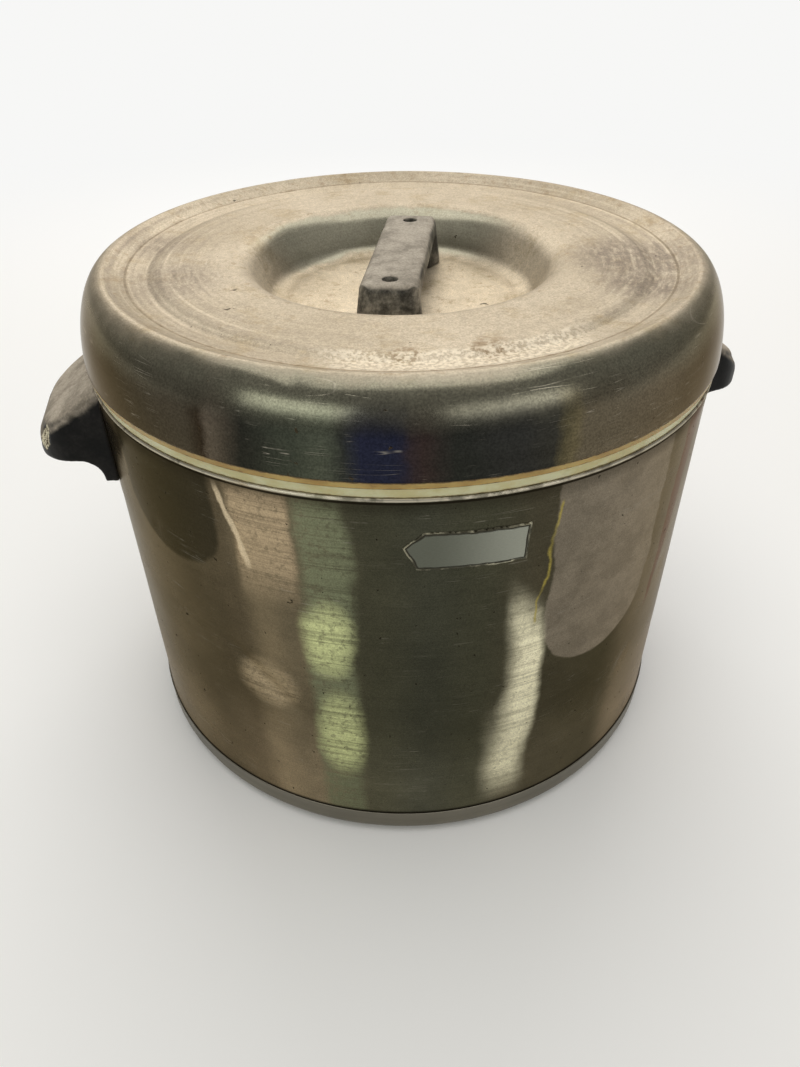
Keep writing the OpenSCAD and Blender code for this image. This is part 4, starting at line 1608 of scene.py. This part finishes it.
@dataclass
class LidSkin:
    """The lid's skin, inner pan, foam, ring and seal."""

    sheet: float = 0.0008
    edge: float = 0.2883
    crest: tuple[float, float] = (0.1816, 0.335)
    shoulder: tuple[float, float] = (0.0206, 0.049)
    crease: tuple[float, float] = (0.1694, 0.3299)
    groove: tuple[float, float] = (0.1576, 0.3286)
    plateau: tuple[float, float] = (0.1500, 0.3306)
    lip_start: float = 0.107
    lip: float = 0.016
    fillet: float = 0.012
    lean: float = 62.0
    floor: tuple[float, float] = (0.075, 0.302)
    segments: int = 420

    def path(self) -> Outline:
        """The skin's outer side, from the hem up over the crest and down into the well."""
        c = (self.crest[0], self.crest[1] - self.shoulder[1])
        start = math.degrees(math.asin((self.edge + 0.001 - c[1]) / self.shoulder[1]))
        wall = c[0] + self.shoulder[0] * math.cos(math.radians(start))
        points = [(wall - 0.0030, self.edge + 0.0001)]
        points += arc((wall - 0.0008, self.edge + 0.0008), 0.0008, 0.0007, -90.0, 0.0, 4)
        points += arc(c, *self.shoulder, start, 90.0, 34)
        points += arc((self.crest[0], self.crest[1] - 0.003), 0.003, 0.003, 96.0, 112.0, 3)
        points += arc((self.crease[0], self.crease[1] + 0.0022), 0.0022, 0.0022, -68.0, -96.0, 4)
        points += arc((self.groove[0], self.groove[1] + 0.006), 0.006, 0.006, -84.0, -106.0, 4)
        points += [self.plateau]
        points += arc((self.lip_start, self.plateau[1] - self.lip), self.lip, self.lip, 90.0, 90.0 + self.lean, 12)
        points += arc((self.floor[0], self.floor[1] + self.fillet), self.fillet, self.fillet,
                      self.lean - 90.0, -90.0, 10)
        points += [(0.0, self.floor[1])]
        return fine(points, 2.2 * MM)

    def skin(self) -> bpy.types.Object:
        """The skin, slightly wavy, with knocks round its shoulder."""
        marks = knocks(23, 46, 0.090, 0.180) + [
            Dent(-117.0, 0.188, 5.0 * MM, 3.0 * MM, 0.4 * MM, 20.0),
            Dent(150.0, 0.150, 26.0 * MM, 9.0 * MM, 0.4 * MM),
            Dent(-25.0, 0.145, 30.0 * MM, 12.0 * MM, 0.5 * MM),
        ]

        def wave(angle: float, reach: float, height: float) -> float:
            held = min(1.0, max(0.0, (height - self.edge - 0.002) / 0.010))
            if reach < self.floor[0]:
                held = min(1.0, max(0.0, (self.floor[0] - reach) / 0.010)) * 0.4
            spot = Vector((reach * math.cos(angle), reach * math.sin(angle), height)) * 5.0
            slow = noise.noise(spot * 3.0) * 0.16 * MM + noise.noise(spot * 11.0) * 0.05 * MM
            pushed = sum(dent.at(angle, reach, 0.16) for dent in marks) if height > 0.32 else 0.0
            return held * (slow - 0.16 * MM - pushed)

        piece = spin("lid_shell", self.path(), self.sheet, self.segments, wave)
        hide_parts("lid_skin")
        dress(piece, LidSteel(crest=self.crest[0], crease=self.crease[0]).make())
        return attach(piece, Rides.LID.value)

    def foam(self) -> bpy.types.Object:
        """The lid's foam, kept back from the wavy skin."""
        path = [(0.001, 0.264), (0.150, 0.264), (0.162, 0.275), (0.164, 0.2899), (0.196, 0.2899),
                (0.198, 0.300), (0.190, 0.322), (0.180, 0.331), (0.168, 0.3262), (0.157, 0.3248),
                (0.108, 0.3265), (0.096, 0.3215), (0.087, 0.3035), (0.077, 0.2965), (0.001, 0.2965)]
        piece = spin("lid_foam", path, 0.0, 128)
        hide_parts("lid_insulation")
        dress(piece, Foam("lid foam").make())
        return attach(piece, Rides.LID.value)

    def build(self) -> list[bpy.types.Object]:
        """Builds the skin and dresses the lid's plain nodes."""
        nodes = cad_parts
        low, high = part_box("lid_ring")
        ring = RimPlastic("ring plastic", (0.44, 0.30, 0.085), (0.33, 0.20, 0.045), (0.040, 0.024, 0.010),
                          low.z, high.z, 0.55)
        dress(nodes["lid_ring"], ring.make())
        dress(nodes["lid_seal"], SoftRubber().make())
        dress(nodes["lid_inner_pan"], SpunSteel("pan steel", (0.40, 0.39, 0.36), (0.60, 0.59, 0.55)).make())
        plug = Phenolic("lid plug", (0.30, 0.27, 0.20), (0.40, 0.36, 0.28), (0.35, 0.31, 0.24), 0.8, 1.2).make()
        dress(nodes["lid_fill_plug"], plug)
        return [self.skin(), self.foam(), nodes["lid_ring"], nodes["lid_seal"], nodes["lid_inner_pan"]]


@dataclass
class Grip:
    """The lid's bridge handle with its screws, nuts and plate."""

    voxel: float = 0.0008
    rounds: int = 7
    turn: float = 72.2
    foot_half: tuple[float, float] = (0.0720, 0.0205)
    draw_in: tuple[float, float] = (0.0018, 0.0030)
    corner: tuple[float, float] = (0.006, 0.011)

    def __post_init__(self) -> None:
        """Takes the grip's lowest and highest points from the frame."""
        self.low, self.high = (corner.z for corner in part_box("lid_handle"))

    def shaped(self, point: Vector) -> Vector:
        """Rounds the upright corners of the grip, the more the higher they are.

        Args:
            point: A point of the grip.

        Returns:
            Its new place.
        """
        rise = (point.z - self.low) / (self.high - self.low)
        spin_in = Matrix.Rotation(-math.radians(self.turn), 3, "Z")
        here = spin_in @ point
        end = self.foot_half[0] - self.draw_in[0] * rise - abs(here.x)
        side = self.foot_half[1] - self.draw_in[1] * rise - abs(here.y)
        radius = self.corner[0] + (self.corner[1] - self.corner[0]) * rise
        back, across = rounded(end, side, radius)
        here.x -= math.copysign(back, here.x)
        here.y -= math.copysign(across, here.y)
        return spin_in.transposed() @ here

    def build(self) -> list[bpy.types.Object]:
        """Builds the grip and dresses its fittings."""
        piece = soften("grip", "lid_handle", self.voxel, self.rounds, self.shaped)
        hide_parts("lid_handle")
        finish = Phenolic("grip phenolic", (0.045, 0.042, 0.035), (0.235, 0.215, 0.175),
                          (0.395, 0.350, 0.285), 0.35, 0.85)
        dress(piece, finish.make())
        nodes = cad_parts
        zinc = PlatedSteel("grip zinc", (0.50, 0.50, 0.49), (0.20, 0.12, 0.06), 0.45).make()
        for node in ("lid_handle_screws", "lid_handle_nuts", "lid_handle_plate"):
            dress(nodes[node], zinc)
        return [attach(piece, Rides.LID.value), nodes["lid_handle_screws"]]


@dataclass(frozen=True)
class Lamp:
    """A soft rectangular lamp that faces a point."""

    name: str
    place: tuple[float, float, float]
    size: tuple[float, float]
    watts: float
    tint: Colour = (1.0, 0.98, 0.95)
    target: tuple[float, float, float] = (0.0, 0.0, 0.15)

    def build(self) -> bpy.types.Object:
        """Hangs the lamp."""
        light = bpy.data.lights.new(self.name, "AREA")
        light.shape = "RECTANGLE"
        light.size, light.size_y = self.size
        light.energy = self.watts
        light.color = self.tint
        lamp = bpy.data.objects.new(self.name, light)
        lamp.location = self.place
        lamp.visible_camera = False
        lamp.rotation_euler = (Vector(self.target) - lamp.location).to_track_quat("-Z", "Y").to_euler()
        bpy.context.scene.collection.objects.link(lamp)
        return lamp


@dataclass
class Studio:
    """The floor, the lamps and the camera."""

    lamps: tuple[Lamp, ...] = (
        Lamp("overhead", (0.0, 0.1, 2.3), (2.6, 2.6), 28.0),
        Lamp("back", (0.35, 2.2, 1.7), (3.0, 1.3), 32.0),
        Lamp("left front", (-1.28, -1.28, 0.85), (1.1, 0.45), 4.0, (0.96, 1.0, 0.93)),
        Lamp("right front", (0.72, -1.68, 0.85), (1.3, 0.42), 4.0, (1.0, 0.98, 0.95)),
    )
    ambient: Colour = (0.34, 0.335, 0.325)
    eye: tuple[float, float, float] = (-0.10071, -0.50282, 0.49792)
    turn: float = 11.0
    pitch: float = 37.51
    roll: float = -0.751
    focal: float = 802.0
    frame_height: int = 1067
    sensor: float = 36.0

    def camera(self) -> bpy.types.Object:
        """Sets the camera at the photograph's place and angle."""
        turn, pitch, roll = (math.radians(a) for a in (self.turn, self.pitch, self.roll))
        ahead = Vector((math.sin(turn) * math.cos(pitch), math.cos(turn) * math.cos(pitch), -math.sin(pitch)))
        right = Vector((math.cos(turn), -math.sin(turn), 0.0))
        up = right.cross(ahead)
        across = right * math.cos(roll) + up * math.sin(roll)
        upright = up * math.cos(roll) - right * math.sin(roll)
        data = bpy.data.cameras.new("camera")
        data.sensor_fit = "AUTO"
        data.sensor_width = self.sensor
        data.lens = self.sensor * self.focal / self.frame_height
        data.clip_start = 0.01
        camera = bpy.data.objects.new("camera", data)
        axes = Matrix((across, upright, -ahead)).transposed().to_4x4()
        camera.matrix_world = Matrix.Translation(self.eye) @ axes
        bpy.context.scene.collection.objects.link(camera)
        bpy.context.scene.camera = camera
        return camera

    def floor(self) -> bpy.types.Object:
        """Lays the floor."""
        half = 25.0
        mesh = bpy.data.meshes.new("studio_floor")
        mesh.from_pydata([(-half, -half, 0), (half, -half, 0), (half, half, 0), (-half, half, 0)], [], [(0, 1, 2, 3)])
        floor = bpy.data.objects.new("studio_floor", mesh)
        bpy.context.scene.collection.objects.link(floor)
        floor.location.z = -0.0004
        dress(floor, StudioFloor().make())
        return floor

    def build(self) -> None:
        """Sets up the whole studio."""
        world = bpy.data.worlds.new("studio")
        world.use_nodes = True
        background = world.node_tree.nodes["Background"]
        background.inputs["Color"].default_value = (*self.ambient, 1.0)
        background.inputs["Strength"].default_value = 1.0
        bpy.context.scene.world = world
        bpy.context.scene.view_settings.view_transform = "Standard"
        self.floor()
        for lamp in self.lamps:
            lamp.build()
        self.camera()


def main() -> None:
    """Builds the studio and each sub-assembly in turn."""
    logging.basicConfig(level=logging.INFO, format="%(name)s: %(message)s")
    Studio().build()
    assemblies = [BodySkin(), Badge(), Rim(), Ear(Side.LEFT), Ear(Side.RIGHT), LidSkin(), Grip()]
    for assembly in assemblies:
        for piece in assembly.build():
            LOG.info("%s: %s, %d faces", type(assembly).__name__, piece.name, len(piece.data.polygons))


if __name__ == "__main__":
    main()
